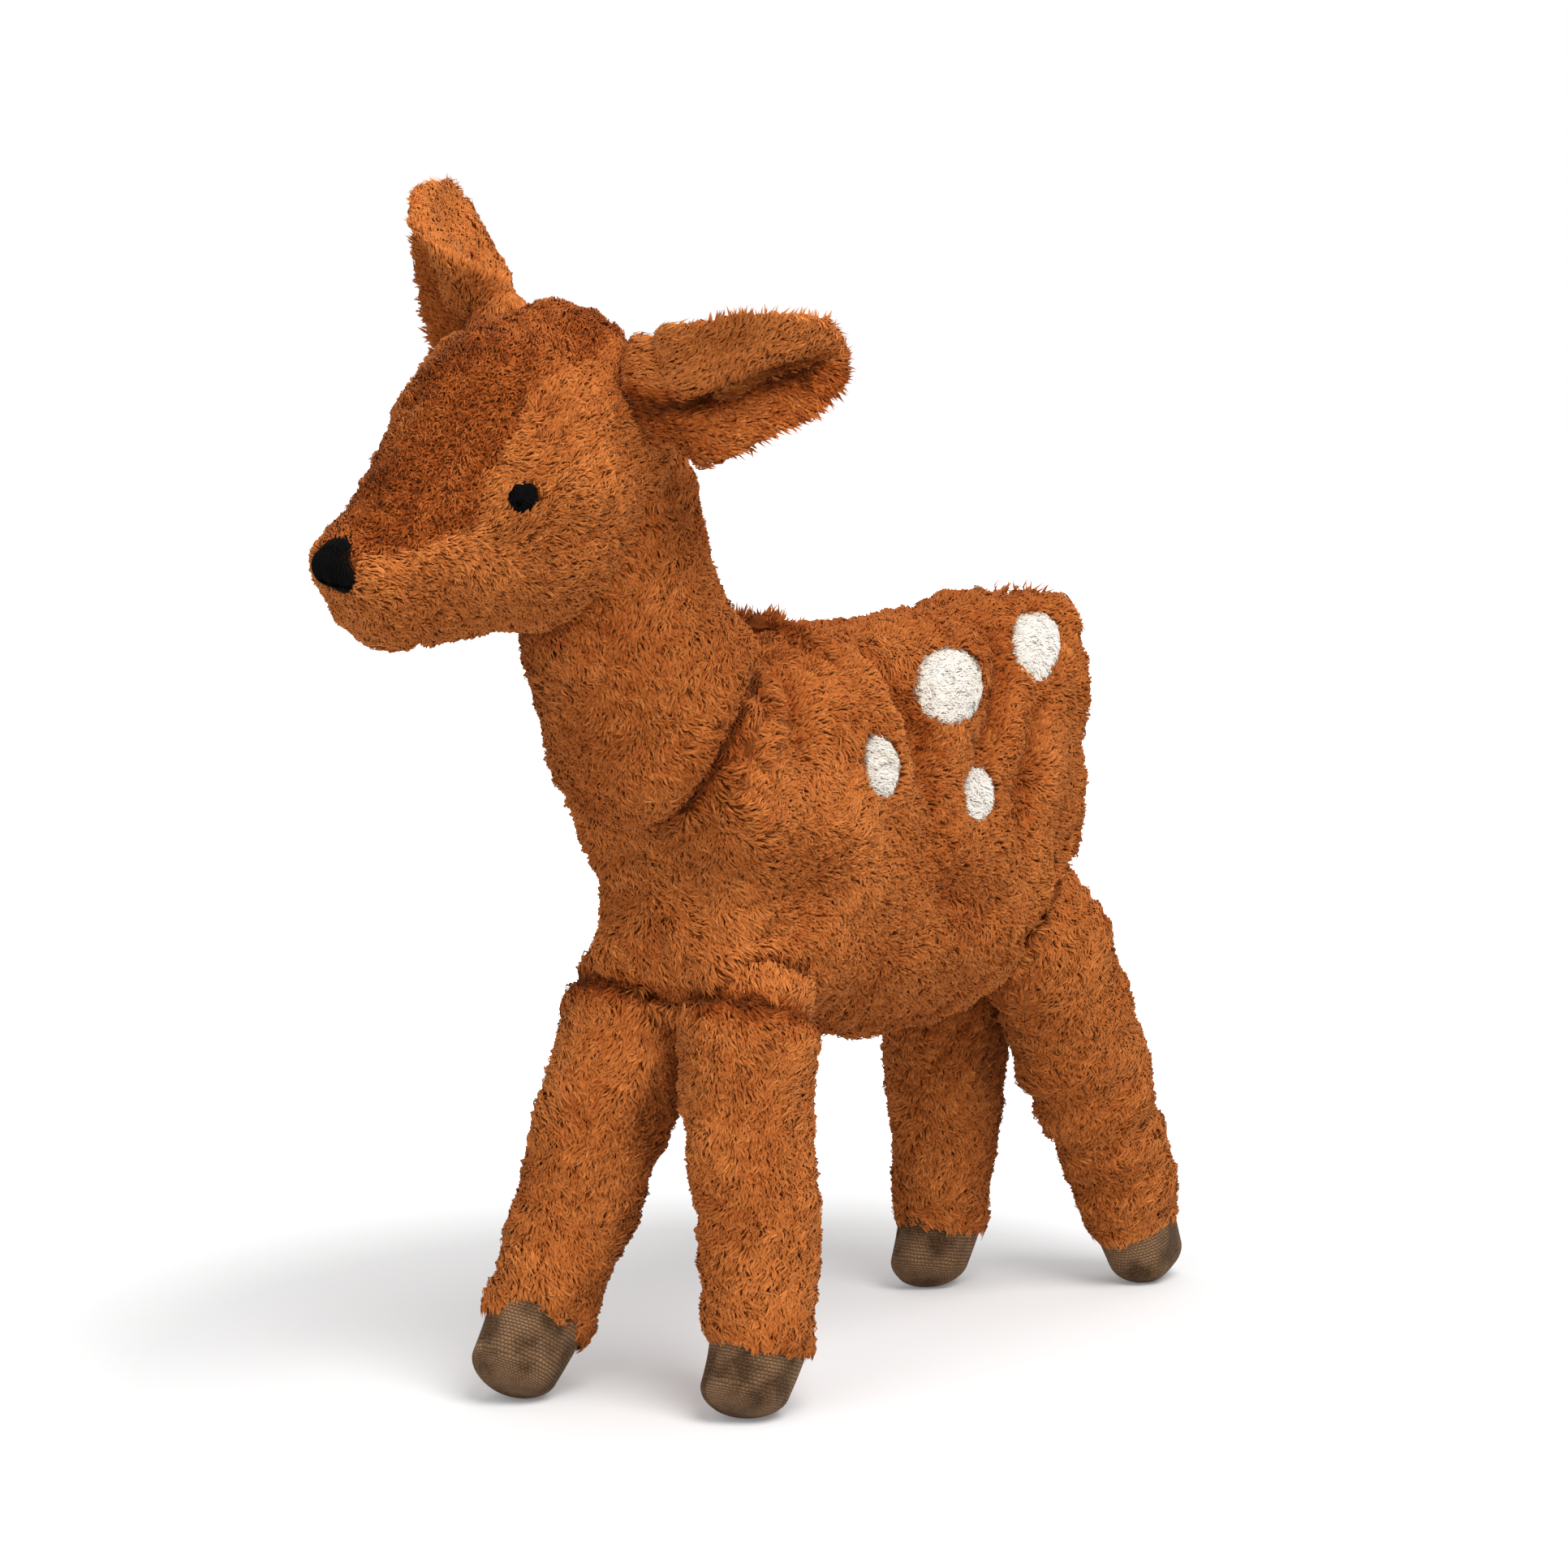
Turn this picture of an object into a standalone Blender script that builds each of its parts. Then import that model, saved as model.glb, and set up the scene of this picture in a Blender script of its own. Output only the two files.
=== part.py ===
# Plush fawn standing on four legs, its head turned a little to its right
# +X is the fawn's left, -Y is forward, +Z is up, and the hooves stand on Z = 0

import math

import bmesh
import bpy
from mathutils import Matrix, Vector
from mathutils.bvhtree import BVHTree

# Cloth, gaps and cuts
COVER_WALL = 0.004          # pile cloth: backing and laid pile
HOOF_WALL = 0.002           # woven cloth of the hooves
HOOF_STEP = 0.0012          # how far the flat cloth lies inside the pile
PATCH_THICKNESS = 0.0014    # embroidered eyes, nose and spots
FIT_GAP = 0.0003            # between pieces that stay together
PATCH_GAP = 0.0008          # under the embroidered patches
SEAT_GAP = 0.0009           # round a limb's ball in its seat
SIDE_GAP = 0.0016           # beside a leg's ball, where the two seats of a pair meet
SOLE_DEPTH = 0.0005         # how deep each hoof is pressed flat
OVERRUN = 0.012             # how far a cutter runs past what it cuts

# Torso, standing over the hips
HIP_HEIGHT = 0.133          # of the rear hips
TORSO_LENGTH = 0.204
TORSO_WIDTH = 0.088
TORSO_HEIGHT = 0.146
BACK_RISE = 0.121           # from the rear hips to the top of the back
BACK_HEIGHT = HIP_HEIGHT + BACK_RISE
CHEST_REACH = 0.098         # forward of the middle plane

# Neck, from inside the chest up to the skull
NECK_WIDTH = 0.074
NECK_TOP_WIDTH = 0.063
NECK_ROOT_SETBACK = 0.003
NECK_ROOT_DROP = 0.028
NECK_LEAN = 0.030
NECK_RISE = 0.068
NECK_ROOT_REACH = CHEST_REACH - NECK_ROOT_SETBACK
NECK_ROOT_HEIGHT = BACK_HEIGHT - NECK_ROOT_DROP
NECK_TOP_REACH = NECK_ROOT_REACH + NECK_LEAN
NECK_TOP_HEIGHT = NECK_ROOT_HEIGHT + NECK_RISE
NECK_NOD = math.radians(8)

# Head
HEAD_LENGTH = 0.128
HEAD_WIDTH = 0.084
HEAD_HEIGHT = 0.094
SKULL_AHEAD = 0.027         # of the neck's top
SKULL_ABOVE = 0.020
SKULL_REACH = NECK_TOP_REACH + SKULL_AHEAD
SKULL_HEIGHT = NECK_TOP_HEIGHT + SKULL_ABOVE
SKULL_SHIFT = 0.007         # to the fawn's right
HEAD_TURN = math.radians(9)
HEAD_NOD = math.radians(20)
HEAD_TILT = math.radians(13)
GUSSET_WIDTH = 0.046
EYE_SIZE = 0.0090
NOSE_WIDTH = 0.0165
NOSE_HEIGHT = 0.0150

# Ears
EAR_LENGTH = 0.060          # from the root's ball to the tip
EAR_WIDTH = 0.052
EAR_ROOT_RADIUS = 0.011
EAR_THICKNESS = 0.008
LINING_THICKNESS = 0.0022
LINING_WIDTH = 0.026
LINING_LENGTH = 0.044
EAR_SWING = math.radians(15)

# Legs
FRONT_HIP_SETBACK = 0.020   # behind the chest
REAR_HIP_SETBACK = 0.015    # ahead of the rump
FRONT_HIP_DROP = 0.007
FRONT_HIP_REACH = CHEST_REACH - FRONT_HIP_SETBACK
REAR_HIP_REACH = TORSO_LENGTH - CHEST_REACH - REAR_HIP_SETBACK
FRONT_HIP_HEIGHT = HIP_HEIGHT - FRONT_HIP_DROP
FRONT_HIP_SPREAD = 0.0240
REAR_HIP_SPREAD = 0.0215
FRONT_HIP_DEPTH = 0.051
REAR_HIP_DEPTH = 0.052
THIGH_GAP = 0.0006          # between the two thighs of a pair
HOOF_HEIGHT = 0.026
FRONT_FOOT_SPREAD = 0.0370
REAR_FOOT_SPREAD = 0.0265
FRONT_LEFT_STEP = -0.015
FRONT_RIGHT_STEP = -0.046
REAR_LEFT_STEP = 0.063
REAR_RIGHT_STEP = 0.006
LEG_SWING = math.radians(15)

# Tail
TAIL_LENGTH = 0.036
TAIL_WIDTH = 0.022
TAIL_THICKNESS = 0.010
TAIL_ROOT_RADIUS = 0.0055
TAIL_DROP = 0.020
TAIL_HEIGHT = BACK_HEIGHT - TAIL_DROP

# Spots, two large and two small on each flank: their heights
LARGE_SPOT = 0.027
SMALL_SPOT = 0.019

# Rings per span, points per ring and rings per rounded end
BODY_SAMPLING = (2, 26, 4)
LIMB_SAMPLING = (2, 18, 4)
INNER_SAMPLING = (1, 16, 3)
TAIL_SAMPLING = (2, 12, 3)
INNER_LIMB_SAMPLING = (1, 12, 3)
SEAT_SAMPLING = (1, 24, 6)
SPOT_POINTS = 12
EYE_POINTS = 10
NOSE_POINTS = 18
LINING_POINTS = 12

# Torso sections from chest to rump, as shares of its length and height:
# place along, spine height, top, bottom, half width, then narrowing upward and squareness
torso_shares = [
    (0.105, 0.480, 0.90, 0.13, 0.86, -0.26, 0.72),
    (0.250, 0.450, 0.98, 0.06, 0.98, -0.11, 0.74),
    (0.450, 0.480, 0.960, 0.01, 1.03, 0.03, 0.80),
    (0.640, 0.500, 0.955, 0.01, 1.01, 0.05, 0.80),
    (0.800, 0.500, 0.985, 0.06, 0.96, 0.02, 0.70),
    (0.915, 0.490, 1.015, 0.20, 0.87, -0.03, 0.56),
]
torso_cap_shares = (0.078, 0.071)
torso_cap_power = 0.52

# Neck from root to top: place along, forward bow, how far it has narrowed, depth to width
neck_shares = [
    (0.00, 0.000, 0.00, 1.03),
    (0.40, 0.055, 0.45, 1.01),
    (0.70, 0.040, 0.90, 1.00),
    (1.00, 0.000, 1.00, 1.00),
]
neck_opening_share = 0.55   # of the ball's radius, where each end of the tube is left open

# Head sections from skull to muzzle, as shares of its length, width and height:
# place along from the back, spine height, half width, rise and drop
head_shares = [
    (0.22, 0.00, 0.92, 0.42, 0.46),
    (0.40, 0.00, 1.00, 0.445, 0.57),
    (0.58, -0.01, 0.80, 0.310, 0.57),
    (0.76, -0.06, 0.56, 0.185, 0.44),
    (0.90, -0.12, 0.44, 0.140, 0.30),
]
head_cap_shares = (0.205, 0.10)
head_pinch = 0.16
head_power = 0.94
head_cap_power = 0.82
skull_share = 0.35          # where the skull's middle lies along the head
eye_forward_share = 0.245   # from the skull's middle
eye_up_share = 0.065
eye_rings = 1
nose_down_share = 0.055
nose_corner_share = 0.16    # how far the nose's three corners swell
nose_rings = 3
gusset_floor_share = 0.02   # how far below the skull's middle the gusset begins

# Forehead gusset: place along the head from the back, then half width
gusset_shares = [
    (-0.10, 0.50), (0.06, 0.64), (0.28, 0.84), (0.50, 0.95), (0.72, 0.97), (0.94, 0.46), (1.10, 0.38),
]

# Leg sections from hip to sole: way down, bow back, half width and half depth
leg_shares = [
    (0.00, 0.00, 1.00, 1.00),
    (0.28, 0.015, 0.91, 1.00),
    (0.55, 0.025, 0.78, 0.87),
    (0.78, 0.015, 0.70, 0.78),
    (0.92, -0.012, 0.65, 0.72),
]
leg_cap_share = 0.08
foot_tries = 4              # each brings the hoof nearer to the floor

# Tail from root to tip: way down, back, half width and half thickness
tail_shares = [
    (0.00, 0.00, 0.50, 1.10),
    (0.22, 0.42, 0.72, 0.85),
    (0.52, 0.52, 1.00, 0.80),
    (0.84, 0.44, 0.70, 0.66),
]

# Ears: the way each grows and the way its hollow looks, as outward, backward and upward shares
ear_way_shares = {"left": (0.80, 0.56, 0.17), "right": (0.76, 0.46, 0.34)}
ear_hollow_shares = {"left": (0.54, -0.82, 0.17), "right": (0.36, -0.90, 0.12)}
ear_root_shares = (0.455, 0.20, 0.225)
lining_middle_share = 0.56  # up the ear
lining_rings = 2

# Ear blade from root to tip: place along, half width, half thickness and curl
ear_shares = [
    (0.00, 0.42, 2.75, 0.20),
    (0.16, 0.84, 1.80, 0.90),
    (0.36, 1.04, 1.20, 1.25),
    (0.60, 0.96, 1.10, 1.25),
    (0.82, 0.77, 1.05, 1.15),
    (0.95, 0.48, 0.90, 0.80),
]


def clear_scene():
    for old in list(bpy.data.objects):
        bpy.data.objects.remove(old, do_unlink=True)


def make_material(name, colour, roughness):
    material = bpy.data.materials.new(name)
    material.use_nodes = True
    shader = material.node_tree.nodes["Principled BSDF"]
    shader.inputs["Base Color"].default_value = (*colour, 1)
    shader.inputs["Roughness"].default_value = roughness
    shader.inputs["Metallic"].default_value = 0
    return material


def smooth_row(rows, share):
    """Smooth values between the rows of a table, the share running over all rows."""
    place = share * (len(rows) - 1)
    low = min(int(place), len(rows) - 2)
    t = place - low
    first, second = rows[low], rows[low + 1]
    before = rows[low - 1] if low else first
    after = rows[low + 2] if low + 2 < len(rows) else second
    values = []
    for a, b, c, d in zip(before, first, second, after):
        leave, arrive = (c - a) / 2, (d - b) / 2
        values.append(
            (2 * t**3 - 3 * t**2 + 1) * b + (t**3 - 2 * t**2 + t) * leave
            + (3 * t**2 - 2 * t**3) * c + (t**3 - t**2) * arrive
        )
    return values


def rounded(value, power):
    return math.copysign(abs(value) ** power, value)


def section(width, rise, drop=None, curl=0, pinch=0, power=1):
    """Half width, rise and drop of a section, how it curls, narrows upward and squares off."""
    return (width, rise, rise if drop is None else drop, curl, pinch, power)


class SoftForm:
    """A stuffed form: sections along a spine, with a rounded end past the first and last."""

    def __init__(self, spine, sections, caps, side=(1, 0, 0), cap_power=1):
        self.spine = [tuple(point) for point in spine]
        self.sections = sections
        self.caps = caps
        self.side = Vector(side).normalized()
        self.cap_power = cap_power

    def centre(self, share):
        return Vector(smooth_row(self.spine, share))

    def heading(self, share):
        """Direction of the spine, square to the side axis."""
        step = 1 / (20 * len(self.spine))
        way = self.centre(min(share + step, 1)) - self.centre(max(share - step, 0))
        return (way - self.side * way.dot(self.side)).normalized()

    def point(self, share, end, angle, turn):
        """A point at a turn round the section; angle is its way over the rounded end."""
        heading = self.heading(share)
        upward = self.side.cross(heading)
        width, rise, drop, curl, pinch, power = smooth_row(self.sections, share)
        shrink = rounded(math.cos(angle), self.cap_power)
        forward = self.caps[max(end, 0)] * rounded(math.sin(angle), self.cap_power) * end
        across = rounded(math.cos(turn), power) * shrink * (1 - pinch * math.sin(turn))
        above = rounded(math.sin(turn), power) * shrink
        above *= rise if above > 0 else drop
        lean = curl * across                    # the section is bent round an arc
        bend = math.sin(lean) / lean if lean else 1
        sideways = width * across * bend - above * math.sin(lean)
        upright = width * across * math.tan(lean / 2) * bend + above * math.cos(lean)
        return self.centre(share) + heading * forward + self.side * sideways + upward * upright

    def rows(self, sampling):
        spans, count, cap_rings = sampling
        body = spans * (len(self.spine) - 1)
        bend = math.pi / 2 / cap_rings
        stops = [(0, -1, bend * k) for k in range(cap_rings - 1, 0, -1)]
        stops += [(k / body, 0, 0) for k in range(body + 1)]
        stops += [(1, 1, bend * k) for k in range(1, cap_rings)]
        turns = [math.tau * k / count for k in range(count)]
        return [[self.point(*stop, turn) for turn in turns] for stop in stops]

    def poles(self):
        start = self.centre(0) - self.heading(0) * self.caps[0]
        end = self.centre(1) + self.heading(1) * self.caps[1]
        return start, end

    def mesh(self, inset=0, sampling=BODY_SAMPLING):
        bm = bmesh.new()
        grid = [[bm.verts.new(place) for place in row] for row in self.rows(sampling)]
        first, last = (bm.verts.new(pole) for pole in self.poles())
        count = len(grid[0])
        for k in range(count):
            n = (k + 1) % count
            mirrored = math.cos(math.tau * (2 * k + 1) / (2 * count)) < 0
            for row, after in zip(grid, grid[1:]):
                a, b, c, d = row[k], row[n], after[n], after[k]
                if mirrored:
                    a, b, c, d = b, c, d, a
                bm.faces.new((a, b, c))
                bm.faces.new((a, c, d))
            bm.faces.new((first, grid[0][n], grid[0][k]))
            bm.faces.new((last, grid[-1][k], grid[-1][n]))
        bm.normal_update()
        bmesh.ops.recalc_face_normals(bm, faces=bm.faces)
        bm.normal_update()
        inner = [vert.co - vert.normal * inset for vert in bm.verts]
        for vert, place in zip(bm.verts, inner):
            vert.co = place
        return bm


def add_object(name, bm):
    bm.normal_update()
    bmesh.ops.recalc_face_normals(bm, faces=bm.faces)
    mesh = bpy.data.meshes.new(name)
    bm.to_mesh(mesh)
    bm.free()
    mesh.shade_smooth()
    item = bpy.data.objects.new(name, mesh)
    bpy.context.collection.objects.link(item)
    return item


def add_cutter(name, bm):
    item = add_object(name, bm)
    item.hide_render = True
    item.display_type = "WIRE"
    return item


def cut(item, cutter, operation="DIFFERENCE"):
    step = item.modifiers.new(cutter.name, "BOOLEAN")
    step.operation = operation
    step.solver = "EXACT"
    step.object = cutter


def block_mesh(low, high, frame=Matrix()):
    """A box between two corners of a frame."""
    bm = bmesh.new()
    bmesh.ops.create_cube(bm, size=1)
    low, high = Vector(low), Vector(high)
    size = high - low
    for vert in bm.verts:
        vert.co = frame @ (low + Vector(a * (b + 1 / 2) for a, b in zip(size, vert.co)))
    return bm


def box_frame(origin, heading):
    """A frame at a point, its Z along the heading."""
    turn = Vector((0, 0, 1)).rotation_difference(Vector(heading)).to_matrix().to_4x4()
    return Matrix.Translation(origin) @ turn


def seat_mesh(pivot, heading, half_width, radius, reach, flare):
    """Room for a limb's ball and, past the pivot, for the limb as it swings."""
    pivot, heading = Vector(pivot), Vector(heading)
    tangent = radius / math.cos(flare)
    spread = reach * math.tan(flare)
    sections = [section(half_width, tangent), section(half_width + spread, tangent + spread)]
    form = SoftForm([pivot, pivot + heading * reach], sections, (radius, FIT_GAP))
    return form.mesh(0, SEAT_SAMPLING)


def torso_form():
    floor = BACK_HEIGHT - TORSO_HEIGHT
    spine, sections = [], []
    for along, height, top, bottom, width, pinch, power in torso_shares:
        spine.append((0, TORSO_LENGTH * along - CHEST_REACH, floor + TORSO_HEIGHT * height))
        rise = TORSO_HEIGHT * (top - height)
        drop = TORSO_HEIGHT * (height - bottom)
        sections.append(section(TORSO_WIDTH / 2 * width, rise, drop, 0, pinch, power))
    caps = [TORSO_LENGTH * share for share in torso_cap_shares]
    return SoftForm(spine, sections, caps, cap_power=torso_cap_power)


def neck_form():
    root = Vector((0, -NECK_ROOT_REACH, NECK_ROOT_HEIGHT))
    top = Vector((0, -NECK_TOP_REACH, NECK_TOP_HEIGHT))
    way = top - root
    bow = Vector((1, 0, 0)).cross(way)
    spine, sections = [], []
    for along, forward, narrowed, deep in neck_shares:
        spine.append(root + way * along + bow * forward)
        half = (NECK_WIDTH + (NECK_TOP_WIDTH - NECK_WIDTH) * narrowed) / 2
        sections.append(section(half, half * deep))
    return SoftForm(spine, sections, (sections[0][1], sections[-1][1]))


def head_frame():
    turn = (
        Matrix.Rotation(-HEAD_TURN, 4, "Z")
        @ Matrix.Rotation(HEAD_NOD, 4, "X")
        @ Matrix.Rotation(HEAD_TILT, 4, "Y")
    )
    return Matrix.Translation((-SKULL_SHIFT, -SKULL_REACH, SKULL_HEIGHT)) @ turn


def head_form():
    spine, sections = [], []
    for along, height, width, rise, drop in head_shares:
        spine.append((0, HEAD_LENGTH * (skull_share - along), HEAD_HEIGHT * height))
        half = HEAD_WIDTH / 2 * width
        up, down = HEAD_HEIGHT * rise, HEAD_HEIGHT * drop
        sections.append(section(half, up, down, 0, head_pinch, head_power))
    caps = [HEAD_LENGTH * share for share in head_cap_shares]
    return SoftForm(spine, sections, caps, side=(-1, 0, 0), cap_power=head_cap_power)


def leg_form(side, reach, height, spread, depth, foot_spread, step):
    """A leg hung on its hip, its hoof just pressed into the floor."""
    half_width = spread - THIGH_GAP / 2
    sections = [section(half_width * w, depth / 2 * d) for _, _, w, d in leg_shares]
    foot = 0
    for _ in range(foot_tries):
        spine = []
        for down, bow, _, _ in leg_shares:
            sideways = spread + (foot_spread - spread) * down * down * (3 - 2 * down)
            back = reach + step * down + height * bow
            spine.append((side * sideways, back, height + (foot - height) * down))
        form = SoftForm(spine, sections, (depth / 2, height * leg_cap_share))
        hoof = form.mesh(HOOF_STEP, LIMB_SAMPLING)
        foot -= min(vert.co.z for vert in hoof.verts) + SOLE_DEPTH
        hoof.free()
    return form


# Where a pair hangs: hip reach, hip height, hip spread, hip depth and foot spread
front_pair = (-FRONT_HIP_REACH, FRONT_HIP_HEIGHT, FRONT_HIP_SPREAD, FRONT_HIP_DEPTH, FRONT_FOOT_SPREAD)
rear_pair = (REAR_HIP_REACH, HIP_HEIGHT, REAR_HIP_SPREAD, REAR_HIP_DEPTH, REAR_FOOT_SPREAD)
leg_rows = [
    ("front_left", 1, front_pair, FRONT_LEFT_STEP),
    ("front_right", -1, front_pair, FRONT_RIGHT_STEP),
    ("rear_left", 1, rear_pair, REAR_LEFT_STEP),
    ("rear_right", -1, rear_pair, REAR_RIGHT_STEP),
]


def ear_frame(name):
    """Frame of an ear in the head's frame: X across the blade, Y to the tip, Z out of its hollow."""
    mirror = Vector((1 if name == "left" else -1, 1, 1))
    along = (mirror * Vector(ear_way_shares[name])).normalized()
    hollow = mirror * Vector(ear_hollow_shares[name])
    hollow = (hollow - along * hollow.dot(along)).normalized()
    across = along.cross(hollow)
    frame = Matrix((across, along, hollow)).transposed().to_4x4()
    size = Vector((HEAD_WIDTH, HEAD_LENGTH, HEAD_HEIGHT))
    return Matrix.Translation(mirror * size * Vector(ear_root_shares)) @ frame


def ear_form():
    spine, sections = [], []
    for along, width, thick, curl in ear_shares:
        spine.append((0, EAR_LENGTH * along, 0))
        half = EAR_THICKNESS / 2 * thick
        sections.append(section(EAR_WIDTH / 2 * width, half, half, curl))
    return SoftForm(spine, sections, (EAR_ROOT_RADIUS, EAR_LENGTH * (1 - ear_shares[-1][0])))


# Spots of a flank: place along the torso, height up it, its own height and width to height
spot_rows = [
    ("spot_large_front", 0.555, 0.83, LARGE_SPOT, 1.30),
    ("spot_large_rear", 0.834, 0.897, LARGE_SPOT, 0.95),
    ("spot_small_front", 0.308, 0.68, SMALL_SPOT, 0.84),
    ("spot_small_rear", 0.578, 0.575, SMALL_SPOT, 0.78),
]
spot_rings = 3

cloth = {
    "pile": make_material("rust_pile", (0.42, 0.155, 0.045), 0.9),
    "stuffing": make_material("stuffing", (0.86, 0.84, 0.80), 0.95),
    "hoof": make_material("hoof_cloth", (0.155, 0.112, 0.075), 0.85),
    "spot": make_material("spot_pile", (0.84, 0.79, 0.72), 0.9),
    "thread": make_material("black_thread", (0.008, 0.008, 0.009), 0.6),
}


def meeting(finder, start, way):
    """Where a line meets a surface, or the surface's nearest place if it passes by, and its normal."""
    place, normal, _, _ = finder.ray_cast(start, way)
    if place is None:
        place, normal, _, _ = finder.find_nearest(start)
    return place, normal


def patch_mesh(surface, frame, outline, rings, thickness):
    """A sewn patch lying on a surface: the outline is laid on it along the frame's Z."""
    finder = BVHTree.FromBMesh(surface)
    reach = max(abs(value) for place in outline for value in place) + OVERRUN
    downward = -(frame.to_3x3() @ Vector((0, 0, 1)))

    def lay(x, y):
        return meeting(finder, frame @ Vector((x, y, reach)), downward)

    bm = bmesh.new()
    layers = []
    for rise in (PATCH_GAP, PATCH_GAP + thickness):
        place, normal = lay(0, 0)
        middle = bm.verts.new(place + normal * rise)
        loops = []
        for ring in range(1, rings + 1):
            spots = [lay(x * ring / rings, y * ring / rings) for x, y in outline]
            loops.append([bm.verts.new(place + normal * rise) for place, normal in spots])
        layers.append((middle, loops))
    count = len(outline)
    for k in range(count):
        n = (k + 1) % count
        for middle, loops in layers:
            bm.faces.new((middle, loops[0][k], loops[0][n]))
            for inner, outer in zip(loops, loops[1:]):
                bm.faces.new((inner[k], outer[k], outer[n], inner[n]))
        under, over = layers[0][1][-1], layers[1][1][-1]
        bm.faces.new((under[k], under[n], over[n], over[k]))
    return bm


def round_outline(width, height, count):
    turns = [math.tau * k / count for k in range(count)]
    return [(width / 2 * math.cos(turn), height / 2 * math.sin(turn)) for turn in turns]


def frame_on(surface, start, way, upright):
    """A frame where a line meets a surface: Z along its normal, Y as near upright as it lies."""
    place, normal = meeting(BVHTree.FromBMesh(surface), Vector(start), Vector(way))
    upright = Vector(upright)
    level = (upright - normal * upright.dot(normal)).normalized()
    turn = Matrix((level.cross(normal), level, normal)).transposed().to_4x4()
    return Matrix.Translation(place) @ turn


def tail_form(skin):
    """A short flat tail, its round root lying against the rump."""
    rump = frame_on(skin, (0, TORSO_LENGTH, TAIL_HEIGHT), (0, -1, 0), (0, 0, 1))
    root = rump @ Vector((0, 0, TAIL_ROOT_RADIUS + FIT_GAP))
    root.x = 0
    spine, sections = [], []
    for down, back, width, thick in tail_shares:
        spine.append(root + Vector((0, TAIL_THICKNESS * back, -TAIL_LENGTH * down)))
        sections.append(section(TAIL_WIDTH / 2 * width, TAIL_THICKNESS / 2 * thick))
    return SoftForm(spine, sections, (TAIL_ROOT_RADIUS, TAIL_LENGTH * (1 - tail_shares[-1][0])))


def gusset_mesh(gap, frame):
    """The strip of the forehead seen from above, as a prism through the top of the head."""
    half = GUSSET_WIDTH / 2
    rows = [(HEAD_LENGTH * (skull_share - along), half * width + gap) for along, width in gusset_shares]
    outline = [(wide, place) for place, wide in rows] + [(-wide, place) for place, wide in reversed(rows)]
    bm = bmesh.new()
    low, high = -HEAD_HEIGHT * gusset_floor_share - gap, HEAD_HEIGHT
    bottom = [bm.verts.new((x, y, low)) for x, y in outline]
    top = [bm.verts.new((x, y, high)) for x, y in outline]
    bm.faces.new(bottom)
    bm.faces.new(top)
    for k in range(len(outline)):
        n = (k + 1) % len(outline)
        bm.faces.new((bottom[k], bottom[n], top[n], top[k]))
    bmesh.ops.recalc_face_normals(bm, faces=bm.faces)
    bm.transform(frame)
    return bm


def nose_outline():
    """A triangle with rounded corners, its point down."""
    points = []
    for x, y in round_outline(NOSE_WIDTH, NOSE_HEIGHT, NOSE_POINTS):
        turn = math.atan2(y, x)
        reach = 1 - nose_corner_share * math.sin(3 * turn)
        points.append((x * reach, y * reach))
    return points


class Assembly:
    """The fawn's pieces, each hung from the joint that moves it."""

    def __init__(self):
        self.root = self.add_empty("fawn", Vector((0, 0, 0)), None)

    def add_empty(self, name, place, parent):
        empty = bpy.data.objects.new(name, None)
        bpy.context.collection.objects.link(empty)
        empty.empty_display_size = FIT_GAP
        empty["home"] = tuple(place)
        if parent:
            empty.parent = parent
            empty.location = place - Vector(parent["home"])
        return empty

    def hang(self, item, joint, material=None):
        """Puts an item's origin on a joint without moving its mesh."""
        home = Vector(joint["home"])
        item.data.transform(Matrix.Translation(-home))
        item.parent = joint
        if material:
            item.data.materials.append(cloth[material])
        return item

    def cutter(self, name, bm, joint=None):
        return self.hang(add_cutter(name, bm), joint or self.root)


def add_neck_seat(fawn, neck):
    """Room in the chest for the neck's root to nod in."""
    half = neck.sections[0][0] + SEAT_GAP
    radius = neck.caps[0] + SEAT_GAP
    room = seat_mesh(neck.centre(0), neck.heading(0), half, radius, NECK_WIDTH, NECK_NOD)
    return fawn.cutter("neck_seat", room)


def add_leg_seats(fawn, legs, side):
    """Room in the belly for the two legs of a side to swing in."""
    seats = []
    for name, leg in legs.items():
        if name.endswith(side):
            half = leg.sections[0][0] + SIDE_GAP
            radius = leg.caps[0] + SEAT_GAP
            room = seat_mesh(leg.centre(0), leg.heading(0), half, radius, TORSO_HEIGHT, LEG_SWING)
            seats.append(fawn.cutter(name + "_seat", room))
    return seats


def build_torso(fawn, torso, neck_seat, side_seats):
    """Two side panels sewn along the back and the belly, round the stuffing."""
    cavity = fawn.cutter("torso_cavity", torso.mesh(COVER_WALL, INNER_SAMPLING))
    length = TORSO_LENGTH + OVERRUN
    top = BACK_HEIGHT + OVERRUN * 2
    for side, low, high in (("left", -TORSO_WIDTH, FIT_GAP / 2), ("right", -FIT_GAP / 2, TORSO_WIDTH)):
        panel = fawn.hang(add_object("torso_" + side + "_panel", torso.mesh()), fawn.root, "pile")
        far_half = fawn.cutter("torso_far_of_" + side, block_mesh((low, -length, 0), (high, length, top)))
        for tool in [cavity, far_half, neck_seat] + side_seats[side]:
            cut(panel, tool)
    stuffing = add_object("torso_stuffing", torso.mesh(COVER_WALL + FIT_GAP, INNER_SAMPLING))
    fawn.hang(stuffing, fawn.root, "stuffing")
    for tool in [neck_seat] + side_seats["left"] + side_seats["right"]:
        cut(stuffing, tool)


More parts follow.
